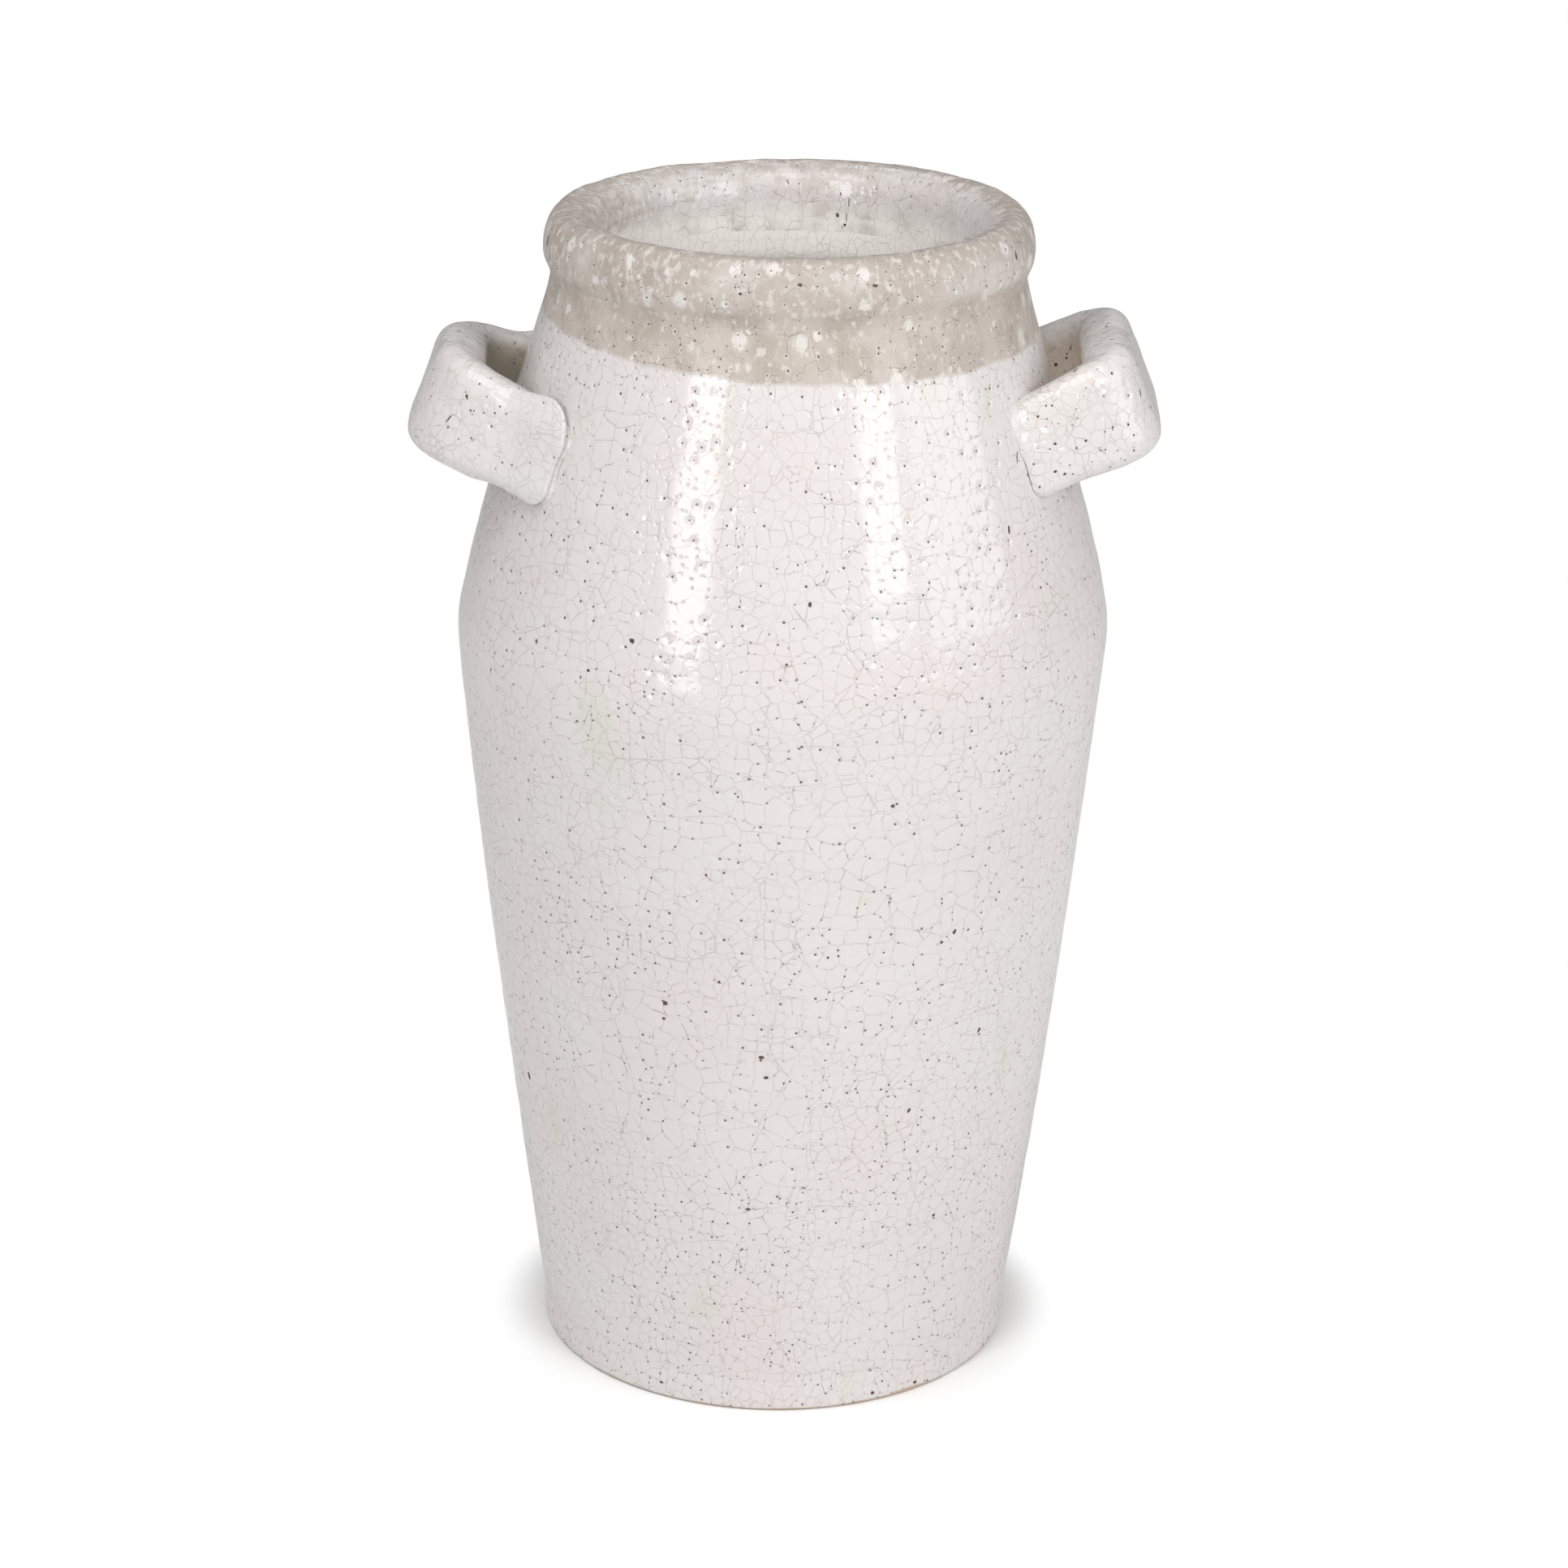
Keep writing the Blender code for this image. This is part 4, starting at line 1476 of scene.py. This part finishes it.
@dataclass(frozen=True)
class WhiteGlaze:
    """Glossy off-white crackle glaze, with the semi-matt taupe one over it where a band lies.

    A ramp is a smooth step: its two limits, and what it gives below and above them.
    """

    name: str
    mapping: Mapping = Mapping.WRAPPED
    band: Band = Band.NONE
    roughness: float = 0.11
    taupe_roughness: float = 0.42
    shine: float = 1.41
    skin: float = 0.06
    taupe_skin: float = 0.20

    cell: float = 0.0046
    other_cell: float = 0.0070
    swaps: bool = False
    cell_swap: Ramp = (0.545, 0.575, 0.0, 1.0)
    line_width: float = 0.00018
    line_share: float = 0.62
    taupe_line_share: float = 0.85
    line_colour: Colour = (0.330, 0.280, 0.250, 1)
    taupe_line: Colour = (0.190, 0.145, 0.115, 1)

    pinhole_spacing: float = 0.0056
    pinhole_size: float = 0.00041
    pinhole_amount: float = 0.40
    dimple_size: float = 0.0022
    speck_spacing: float = 0.0027
    speck_share: float = 0.85
    speck_amount: float = 0.68
    speck_dimple: float = 0.0010
    speck_dimple_gap: Ramp = (0.0004, 0.0012, 0.5, 0.0)
    crowd: Ramp = (0.40, 0.60, 0.15, 1.0)
    crowd_low_down: Ramp = (0.09, 0.24, 0.35, 0.0)
    near_crack: Ramp = (0.00022, 0.00060, 1.0, 0.0)
    dark_crack: Ramp = (0.64, 0.74, 0.0, 1.0)
    dash: Ramp = (0.00005, 0.00018, 0.45, 0.0)
    hole_share: float = 0.9
    hole_colour: Colour = (0.060, 0.048, 0.040, 1)
    bowl_depth: float = 0.24

    colour: Colour = (0.640, 0.612, 0.602, 1)
    warm: Colour = (0.636, 0.594, 0.580, 1)
    warm_patch: Ramp = (0.35, 0.65, 0.0, 1.0)
    olive: Colour = (0.580, 0.566, 0.500, 1)
    olive_smear: Ramp = (0.66, 0.80, 0.0, 0.45)
    crack_stain: Ramp = (0.0, 0.0006, 0.10, 0.0)
    # inner is painted light: a much lighter white for the inside of the mouth.
    inner: Colour = (0.940, 0.902, 0.862, 1)
    inner_run: float = 0.418
    # slot is painted shade and lit_slot is painted light, laid on a strap's slot through its slot_shade attribute.
    slot: Colour = (0.400, 0.370, 0.300, 1)
    lit_slot: Colour = (0.820, 0.720, 0.620, 1)
    clay: Colour = (0.420, 0.300, 0.200, 1)
    clay_line: float = 0.0
    clay_drift: float = 0.0054

    taupe: Colour = (0.478, 0.420, 0.376, 1)
    taupe_dark: Colour = (0.405, 0.350, 0.306, 1)
    taupe_murk: Ramp = (0.40, 0.64, 0.0, 1.0)
    crest: Colour = (0.378, 0.330, 0.292, 1)
    blotch: Colour = (0.640, 0.605, 0.570, 1)
    pale_grain: Ramp = (0.60, 0.80, 0.0, 0.6)
    pale_rim: Ramp = (0.0001, 0.0007, 0.22, 0.0)
    crest_run: Ramp = (0.377, 0.394, 0.0, 0.9)
    crest_end: Ramp = (0.4105, 0.4165, 1.0, 0.25)
    veil: Ramp = (0.47, 0.70, 0.0, 1.0)
    veil_run: Ramp = (0.374, 0.382, 0.0, 0.55)
    veil_end: Ramp = (0.389, 0.398, 1.0, 0.3)
    band_edge: tuple[float, float] = (0.3552, 0.3572)
    band_lean: float = 0.036
    band_curve: float = -0.35
    band_ragged: float = 0.0024
    band_inside: float = 0.068
    lip_ragged: float = 0.007
    lip_edge: tuple[float, float] = (0.0596, 0.0628)
    lip_thin_edge: Ramp = (0.0592, 0.0640, 0.0, 0.75)
    lip_far: Ramp = (-0.030, 0.062, 0.0, 0.0088)
    lip_right: Ramp = (0.0, 0.070, 0.0, 0.0068)
    lip_thin_right: Ramp = (0.010, 0.060, 1.0, 0.45)
    lip_left: Ramp = (-0.058, -0.034, 1.0, 0.0)
    lip_deep: Ramp = (0.4200, 0.4275, 1.0, 0.0)
    lip_mottle: Ramp = (0.36, 0.62, 0.35, 1.0)

    def build(self, effects: GlazeEffects) -> bpy.types.Material:
        """Builds the material.

        Args:
            effects: The shared effects.

        Returns:
            The material.
        """
        flat = self.mapping is Mapping.WRAPPED
        material, recipe, shader, solid = start_material(self.name, flat)
        place = recipe.node("ShaderNodeUVMap", uv_map=WRAP_NAME).outputs[0] if flat else solid
        mix = Mix(recipe, effects, solid, place)
        line, gap = self.cracks(mix)
        hole, bowls = self.pits(mix, gap)
        colour = self.ground(mix, gap)
        strength, stain, rough, lumps = self.line_share, self.line_colour, self.roughness, self.skin
        if self.band is not Band.NONE:
            taupe = self.lip_mask(mix) if self.band is Band.LIP else self.collar_mask(mix)
            colour = recipe.tint(taupe, colour, self.taupe_colour(mix, gap))
            rough = recipe.step(taupe, 0.0, 1.0, self.roughness, self.taupe_roughness)
            strength = recipe.step(taupe, 0.0, 1.0, self.line_share, self.taupe_line_share)
            stain = recipe.tint(taupe, self.line_colour, self.taupe_line)
            lumps = recipe.step(taupe, 0.0, 1.0, self.skin, self.taupe_skin)
        colour = recipe.tint(recipe.times(line, strength), colour, stain)
        if self.clay_line > 0.0:
            drift = recipe.times(recipe.less(recipe.cloud(place, 22.0), 0.5), self.clay_drift)
            edge = recipe.plus(recipe.axis(solid, "Z"), drift)
            ends = self.clay_line * 0.6, self.clay_line * 1.4
            colour = recipe.tint(recipe.step(edge, *ends, 1.0, 0.0), colour, self.clay)
            rough = recipe.step(edge, *ends, 0.8, self.roughness)
        colour = recipe.tint(recipe.times(hole, self.hole_share), colour, self.hole_colour)
        skin = recipe.times(recipe.cloud(place, 150.0, 1.0), lumps)
        height = recipe.less(skin, recipe.times(bowls, self.bowl_depth))
        normal = recipe.bump(height, MILLIMETRE)
        looks = {"Base Color": colour, "Roughness": rough, "IOR": self.shine, "Normal": normal}
        for key, value in looks.items():
            recipe.put(shader.inputs[key], value)
        return material

    def cracks(self, mix: Mix) -> tuple[Socket, Socket]:
        """Lays the crackle, with larger cells in patches on a finish that swaps.

        Args:
            mix: What the glaze is mixed with.

        Returns:
            The crack lines, from 0 to 1, and the metres to the nearest crack.
        """
        recipe, place = mix.recipe, mix.place
        crackle = mix.effects.crackle(self.mapping)
        own = mix.effects.use(recipe, crackle, Place=place, Cell=self.cell, Width=self.line_width)
        line, gap = own["Line"], own["Gap"]
        if self.swaps:
            other = mix.effects.use(recipe, crackle, Place=place, Cell=self.other_cell, Width=self.line_width)
            share = recipe.step(recipe.cloud(place, 13.0, 1.0), *self.cell_swap)
            line, gap = recipe.swap(share, line, other["Line"]), recipe.swap(share, gap, other["Gap"])
        return line, gap

    def pits(self, mix: Mix, gap: Socket) -> tuple[Socket, Socket]:
        """Lays the pinholes, and the specks and dark dashes that keep to the cracks.

        Args:
            mix: What the glaze is mixed with.
            gap: Metres to the nearest crack.

        Returns:
            The holes and the dimples round them, both calmer inside the mouth.
        """
        recipe, effects, place = mix.recipe, mix.effects, mix.place
        pinholes = effects.pinholes(self.mapping)
        holes = effects.use(recipe, pinholes, Place=place, Spacing=self.pinhole_spacing, Size=self.pinhole_size,
                            Amount=self.pinhole_amount, Dimple_size=self.dimple_size)
        specks = effects.use(recipe, pinholes, Place=place, Spacing=self.speck_spacing, Amount=self.speck_amount,
                             Size=self.pinhole_size * self.speck_share, Dimple_size=self.speck_dimple)
        low = recipe.step(recipe.axis(mix.solid, "Z"), *self.crowd_low_down)
        crowd = recipe.plus(recipe.step(recipe.cloud(place, 26.0), *self.crowd), low)
        speck = recipe.times(specks["Hole"], recipe.times(recipe.step(gap, *self.near_crack), crowd))
        dark = recipe.step(recipe.cloud(place, 210.0, 1.0), *self.dark_crack)
        dash = recipe.times(recipe.times(recipe.step(gap, *self.dash), dark), crowd)
        hole = recipe.most(holes["Hole"], recipe.most(speck, dash))
        speck_bowl = recipe.times(specks["Dimple"], recipe.step(gap, *self.speck_dimple_gap))
        bowls = recipe.plus(holes["Dimple"], speck_bowl)
        if self.mapping is Mapping.SOLID:
            return hole, bowls
        calm = recipe.step(recipe.axis(place, "Y"), self.inner_run - 0.004, self.inner_run + 0.008, 1.0, 0.25)
        return recipe.times(hole, calm), recipe.times(bowls, calm)

    def ground(self, mix: Mix, gap: Socket) -> Socket:
        """Mixes the white of the glaze, with warm and olive patches and soft crack stains.

        Args:
            mix: What the glaze is mixed with.
            gap: Metres to the nearest crack.

        Returns:
            The colour, with painted light inside the mouth and painted shade or painted light in the slots.
        """
        recipe, place = mix.recipe, mix.place
        patch = recipe.step(recipe.cloud(place, 16.0, 3.0), *self.warm_patch)
        colour = recipe.tint(patch, self.colour, self.warm)
        # Painted light inside the mouth: past inner_run along the map the colour turns to the lighter inner white.
        if self.mapping is Mapping.WRAPPED:
            run = recipe.step(recipe.axis(place, "Y"), self.inner_run, self.inner_run + 0.012)
            colour = recipe.tint(run, colour, self.inner)
        smear = recipe.step(recipe.cloud(recipe.stretched(place, (1.0, 0.55, 1.0)), 34.0), *self.olive_smear)
        colour = recipe.tint(smear, colour, self.olive)
        stain = recipe.times(recipe.step(gap, *self.crack_stain), recipe.cloud(place, 60.0, 1.0))
        colour = recipe.tint(stain, colour, self.line_colour)
        if self.mapping is Mapping.SOLID:
            # Painted shade (slot colour) where slot_shade is above 0, painted light (lit_slot colour) where it is
            # below 0.
            shade = recipe.node("ShaderNodeAttribute", attribute_name="slot_shade").outputs["Fac"]
            colour = recipe.tint(recipe.most(shade, 0.0), colour, self.slot)
            colour = recipe.tint(recipe.most(recipe.times(shade, -1.0), 0.0), colour, self.lit_slot)
        return colour

    def girth(self, mix: Mix) -> tuple[Socket, Socket]:
        """Returns the distance from the vase's axis, and a ragged number round 0."""
        radius = mix.recipe.vector("LENGTH", mix.recipe.vector("MULTIPLY", mix.solid, (1.0, 1.0, 0.0)))
        return radius, mix.recipe.less(mix.recipe.cloud(mix.place, 70.0, 1.0), 0.5)

    def lip_mask(self, mix: Mix) -> Socket:
        """Masks the lip's taupe glaze, which thins out over the inner ridge.

        Args:
            mix: What the glaze is mixed with.

        Returns:
            1 where the taupe glaze lies.
        """
        recipe, solid, place = mix.recipe, mix.solid, mix.place
        radius, ragged = self.girth(mix)
        edge = recipe.plus(radius, recipe.times(ragged, self.lip_ragged))
        far = recipe.step(recipe.axis(solid, "Y"), *self.lip_far)
        across = recipe.axis(solid, "X")
        right = recipe.step(across, *self.lip_right)
        full = recipe.step(recipe.less(edge, recipe.most(far, right)), *self.lip_edge)
        thin = recipe.times(recipe.step(edge, *self.lip_thin_edge), recipe.step(across, *self.lip_thin_right))
        left = recipe.step(across, *self.lip_left)
        deep = recipe.times(recipe.step(recipe.axis(place, "Y"), *self.lip_deep), left)
        grain = recipe.cloud(recipe.stretched(place, (0.6, 1.6, 1.0)), 150.0, 3.0)
        soft = recipe.times(recipe.most(thin, deep), recipe.step(grain, *self.lip_mottle))
        return recipe.most(full, soft)

    def collar_mask(self, mix: Mix) -> Socket:
        """Masks the collar's taupe glaze, whose lower edge leans, curves and wavers.

        Args:
            mix: What the glaze is mixed with.

        Returns:
            1 where the taupe glaze lies.
        """
        recipe, solid = mix.recipe, mix.solid
        radius, ragged = self.girth(mix)
        across = recipe.axis(solid, "X")
        lean = recipe.times(across, self.band_lean)
        curve = recipe.times(recipe.times(across, across), self.band_curve)
        height = recipe.plus(recipe.axis(solid, "Z"), recipe.plus(lean, curve))
        height = recipe.plus(height, recipe.times(ragged, self.band_ragged))
        outside = recipe.maths("GREATER_THAN", radius, self.band_inside)
        return recipe.times(recipe.step(height, *self.band_edge), outside)

    def taupe_colour(self, mix: Mix, gap: Socket) -> Socket:
        """Mixes the taupe glaze with its pale blotches, its darker crest and the veil on the roll.

        Args:
            mix: What the glaze is mixed with.
            gap: Metres to the nearest crack.

        Returns:
            The colour.
        """
        recipe, effects, place = mix.recipe, mix.effects, mix.place
        murk = recipe.step(recipe.cloud(place, 60.0, 4.0), *self.taupe_murk)
        colour = recipe.tint(murk, self.taupe, self.taupe_dark)
        spot_place = recipe.shaken(place, 240.0, 0.0035)
        run = recipe.axis(place, "Y")
        fine = recipe.plus(recipe.cloud(recipe.stretched(place, (1.0, 0.7, 1.0)), 330.0),
                           recipe.step(run, 0.372, 0.384, 0.0, 0.10))
        pale = recipe.step(fine, *self.pale_grain)
        pinholes = effects.pinholes(self.mapping)
        spots = ((spot_place, 0.0044, 0.0010, 0.36, 0.7), (spot_place, 0.0118, 0.0027, 0.52, 0.95),
                 (place, self.pinhole_spacing, 0.0009, self.pinhole_amount, 0.55))
        for where, spacing, size, amount, share in spots:
            spot = effects.use(recipe, pinholes, Place=where, Spacing=spacing, Size=size, Amount=amount)
            pale = recipe.most(pale, recipe.times(spot["Hole"], share))
        crest = recipe.times(recipe.step(run, *self.crest_run), recipe.step(run, *self.crest_end))
        colour = recipe.tint(crest, colour, self.crest)
        on_roll = recipe.times(recipe.step(run, *self.veil_run), recipe.step(run, *self.veil_end))
        veil = recipe.times(recipe.step(recipe.cloud(place, 30.0, 4.0), *self.veil), on_roll)
        colour = recipe.tint(recipe.most(pale, veil), colour, self.blotch)
        return recipe.tint(recipe.step(gap, *self.pale_rim), colour, self.blotch)


@dataclass(frozen=True)
class BareClay:
    """Matt fired clay that shows in chips and seams."""

    name: str
    light: Colour = (0.120, 0.080, 0.055, 1)
    dark: Colour = (0.045, 0.032, 0.025, 1)
    grain: float = 900.0
    grain_height: float = 0.0002
    roughness: float = 0.75

    def build(self) -> bpy.types.Material:
        """Builds the material.

        Returns:
            The material.
        """
        material, recipe, shader, solid = start_material(self.name)
        grains = recipe.cloud(solid, self.grain, 3.0)
        rough = recipe.step(grains, 0.3, 0.7, self.roughness - 0.1, self.roughness + 0.1)
        recipe.put(shader.inputs["Base Color"], recipe.tint(recipe.step(grains, 0.35, 0.65), self.dark, self.light))
        recipe.put(shader.inputs["Roughness"], rough)
        recipe.put(shader.inputs["Normal"], recipe.bump(grains, self.grain_height))
        return material


class Finish(Enum):
    """The finishes of the vase."""

    LOWER = "white_glaze_lower"
    SHOULDER = "white_glaze_shoulder"
    COLLAR = "collar_glaze"
    LIP = "lip_glaze"
    STRAP = "white_glaze_strap"
    FOOT = "foot_glaze"
    SEAM = "seam_clay"
    CHIP = "chip_clay"


class GlazeShelf:
    """Builds every finish once and puts them on pieces."""

    def __init__(self) -> None:
        """Builds the finishes."""
        effects = GlazeEffects()
        glazes = {
            Finish.LOWER: {"swaps": True},
            Finish.SHOULDER: {"swaps": True, "pinhole_spacing": 0.0058},
            Finish.COLLAR: {"band": Band.COLLAR},
            Finish.LIP: {"band": Band.LIP, "cell": 0.0058, "pinhole_amount": 0.50,
                         "line_colour": (0.26, 0.20, 0.16, 1)},
            Finish.STRAP: {"mapping": Mapping.SOLID, "cell": 0.0043, "line_share": 0.52, "pinhole_spacing": 0.0042,
                           "pinhole_amount": 0.58, "pinhole_size": 0.00045, "colour": (0.640, 0.616, 0.600, 1),
                           "warm": (0.640, 0.606, 0.588, 1)},
            Finish.FOOT: {"clay_line": 0.0008, "clay": (0.50, 0.40, 0.31, 1)},
        }
        clays = {Finish.SEAM: {"light": (0.42, 0.36, 0.31, 1), "dark": (0.16, 0.13, 0.11, 1)}, Finish.CHIP: {}}
        self.materials = {key: WhiteGlaze(key.value, **own).build(effects) for key, own in glazes.items()}
        self.materials |= {key: BareClay(key.value, **own).build() for key, own in clays.items()}

    def dress(self, piece: Piece, finish: Finish) -> None:
        """Puts one finish on a piece."""
        piece.data.materials.clear()
        piece.data.materials.append(self.materials[finish])


@dataclass(frozen=True)
class Softbox:
    """One softbox: where it stands round the vase, how large it is and how bright."""

    name: str
    azimuth: float
    elevation: float
    distance: float
    width: float
    height: float
    radiance: float

    def build(self, middle: Vector) -> None:
        """Adds the light.

        Args:
            middle: Middle of the vase, which the light is aimed at.
        """
        turn, lift = math.radians(self.azimuth), math.radians(self.elevation)
        away = Vector((math.sin(turn) * math.cos(lift), -math.cos(turn) * math.cos(lift), math.sin(lift)))
        Workbench.clear()
        bpy.ops.object.light_add(type="AREA", location=middle + away * self.distance)
        light = bpy.context.object
        light.name = self.name
        light.rotation_euler = away.to_track_quat("Z", "Y").to_euler()
        light.data.shape = "RECTANGLE"
        light.data.size = self.width
        light.data.size_y = self.height
        light.data.energy = self.radiance * math.pi * self.width * self.height


@dataclass
class Studio:
    """Pale floor, soft surroundings and softboxes."""

    floor_size: float = 12.0
    floor_drop: float = 0.0002
    floor_tone: float = 0.93
    floor_cloud: float = 0.008
    white_from: float = 0.0812
    white_to: float = 0.100
    horizon: float = 0.30
    zenith: float = 0.50
    behind: float = 0.70
    aim_height: float = 0.2
    softboxes: list[Softbox] = field(default_factory=lambda: [
        Softbox("tall_softbox", -35.0, 24.0, 1.6, 0.42, 0.93, 7.1),
        Softbox("small_softbox", 37.5, 28.5, 1.6, 0.42, 0.93, 6.0),
        Softbox("side_softbox", 68.0, 22.0, 1.7, 1.00, 1.00, 2.75),
        Softbox("top_softbox", -40.0, 70.0, 1.5, 1.00, 1.00, 3.2),
    ])

    def floor(self) -> Piece:
        """Lays the floor, which the camera sees as plain white away from the foot.

        Returns:
            The floor.
        """
        Workbench.clear()
        bpy.ops.mesh.primitive_plane_add(size=self.floor_size, location=(0, 0, -self.floor_drop))
        floor = bpy.context.object
        floor.name = "studio_floor"
        material, recipe, shader, solid = start_material("pale_floor")
        shades = [(tone, tone, tone, 1) for tone in (self.floor_tone - self.floor_cloud, self.floor_tone)]
        recipe.put(shader.inputs["Base Color"], recipe.tint(recipe.cloud(solid, 3.0), *shades))
        recipe.put(shader.inputs["Roughness"], 0.9)
        recipe.put(shader.inputs["Specular IOR Level"], 0.0)
        away = recipe.step(recipe.vector("LENGTH", solid), self.white_from, self.white_to)
        seen = recipe.times(away, recipe.node("ShaderNodeLightPath").outputs["Is Camera Ray"])
        glow = recipe.node("ShaderNodeEmission").outputs[0]
        blend = recipe.node("ShaderNodeMixShader", {0: seen, 1: shader.outputs[0], 2: glow})
        recipe.put(material.node_tree.nodes["Material Output"].inputs["Surface"], blend.outputs[0])
        floor.data.materials.append(material)
        return floor

    def surroundings(self) -> None:
        """Makes a room that is brighter overhead than at the horizon, and dimmer behind the vase."""
        world = bpy.data.worlds.new("soft_room")
        world.use_nodes = True
        bpy.context.scene.world = world
        recipe = Recipe(world.node_tree)
        way = recipe.node("ShaderNodeTexCoord").outputs["Generated"]
        light = recipe.step(recipe.axis(way, "Z"), 0.45, 0.95, self.horizon, self.zenith)
        light = recipe.times(light, recipe.step(recipe.axis(way, "Y"), -0.6, 0.1, 1.0, self.behind))
        back = world.node_tree.nodes["Background"]
        recipe.put(back.inputs["Strength"], light)
        recipe.put(back.inputs["Color"], (1.0, 1.0, 1.0, 1))

    def build(self) -> None:
        """Builds the whole studio."""
        self.floor()
        self.surroundings()
        for softbox in self.softboxes:
            softbox.build(Vector((0.0, 0.0, self.aim_height)))
        bpy.context.scene.view_settings.view_transform = "Standard"


def settle(piece: Piece, slot: str, *nodes: str) -> None:
    """Ties a finished piece to the model's frame.

    Args:
        piece: The finished piece.
        slot: Material slot that its finish belongs to; not used.
        nodes: CAD nodes that it stands for.
    """
    piece.data.update()
    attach(piece, BODY)
    if nodes:
        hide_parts(*nodes)
    LOG.info("%s: %d faces", piece.name, len(piece.data.polygons))


def search_tree(piece: Piece) -> BVHTree:
    """Returns a search tree of a piece whose place is in its mesh."""
    return BVHTree.FromObject(piece, bpy.context.evaluated_depsgraph_get())


def main() -> None:
    """Builds the vase, its handles and its studio."""
    logging.basicConfig(level=logging.INFO, format="%(name)s %(message)s")
    shape, view, shelf = VaseShape(), PhotoView(), GlazeShelf()
    Studio().build()
    view.build()
    dents = [view.spot(shape, chip.u, chip.v) for chip in CHIPS if not chip.behind]
    body = VaseBody(shape, ClaySurface(shape, dents), Turning())
    sections = (
        (body.foot(), Finish.FOOT, "bare_clay", "base_slab"),
        (body.lower_wall(), Finish.LOWER, "white_glaze", "lower_wall"),
        (body.shoulder_wall(), Finish.SHOULDER, "white_glaze", "shoulder_wall"),
        (body.neck_collar(), Finish.COLLAR, "taupe_glaze", "neck_collar"),
        (body.rolled_lip(), Finish.LIP, "taupe_glaze", "rolled_lip"),
    )
    for piece, finish, slot, node in sections:
        shelf.dress(piece, finish)
        settle(piece, slot, node)
    bpy.context.view_layer.update()
    trees = [search_tree(piece) for piece, *_ in sections]
    shoulder_tree = trees[2]
    seams = LutingSeams()
    for strap in (LEFT_STRAP, RIGHT_STRAP):
        handle = StrapHandle(shape, strap).build()
        shelf.dress(handle, Finish.STRAP)
        settle(handle, "white_glaze", "handle_" + strap.name)
        lines = sorted(seams.crossings(handle, shoulder_tree), key=lambda line: -len(line))[:2]
        lines.sort(key=lambda line: sum(point.y for point in line) / len(line))
        for line, end in zip(lines, ("front", "back")):
            seam = seams.build(f"seam_{strap.name}_{end}", line, len(end) + strap.yaw, strap.merge)
            shelf.dress(seam, Finish.SEAM)
            settle(seam, "white_glaze", f"luting_coil_{strap.name}_{end}")
        trees.append(search_tree(handle))
    chips = GlazeChips(view, CHIPS).build(trees)
    shelf.dress(chips, Finish.CHIP)
    settle(chips, "bare_clay")
    Workbench.clear()


if __name__ == "__main__":
    main()
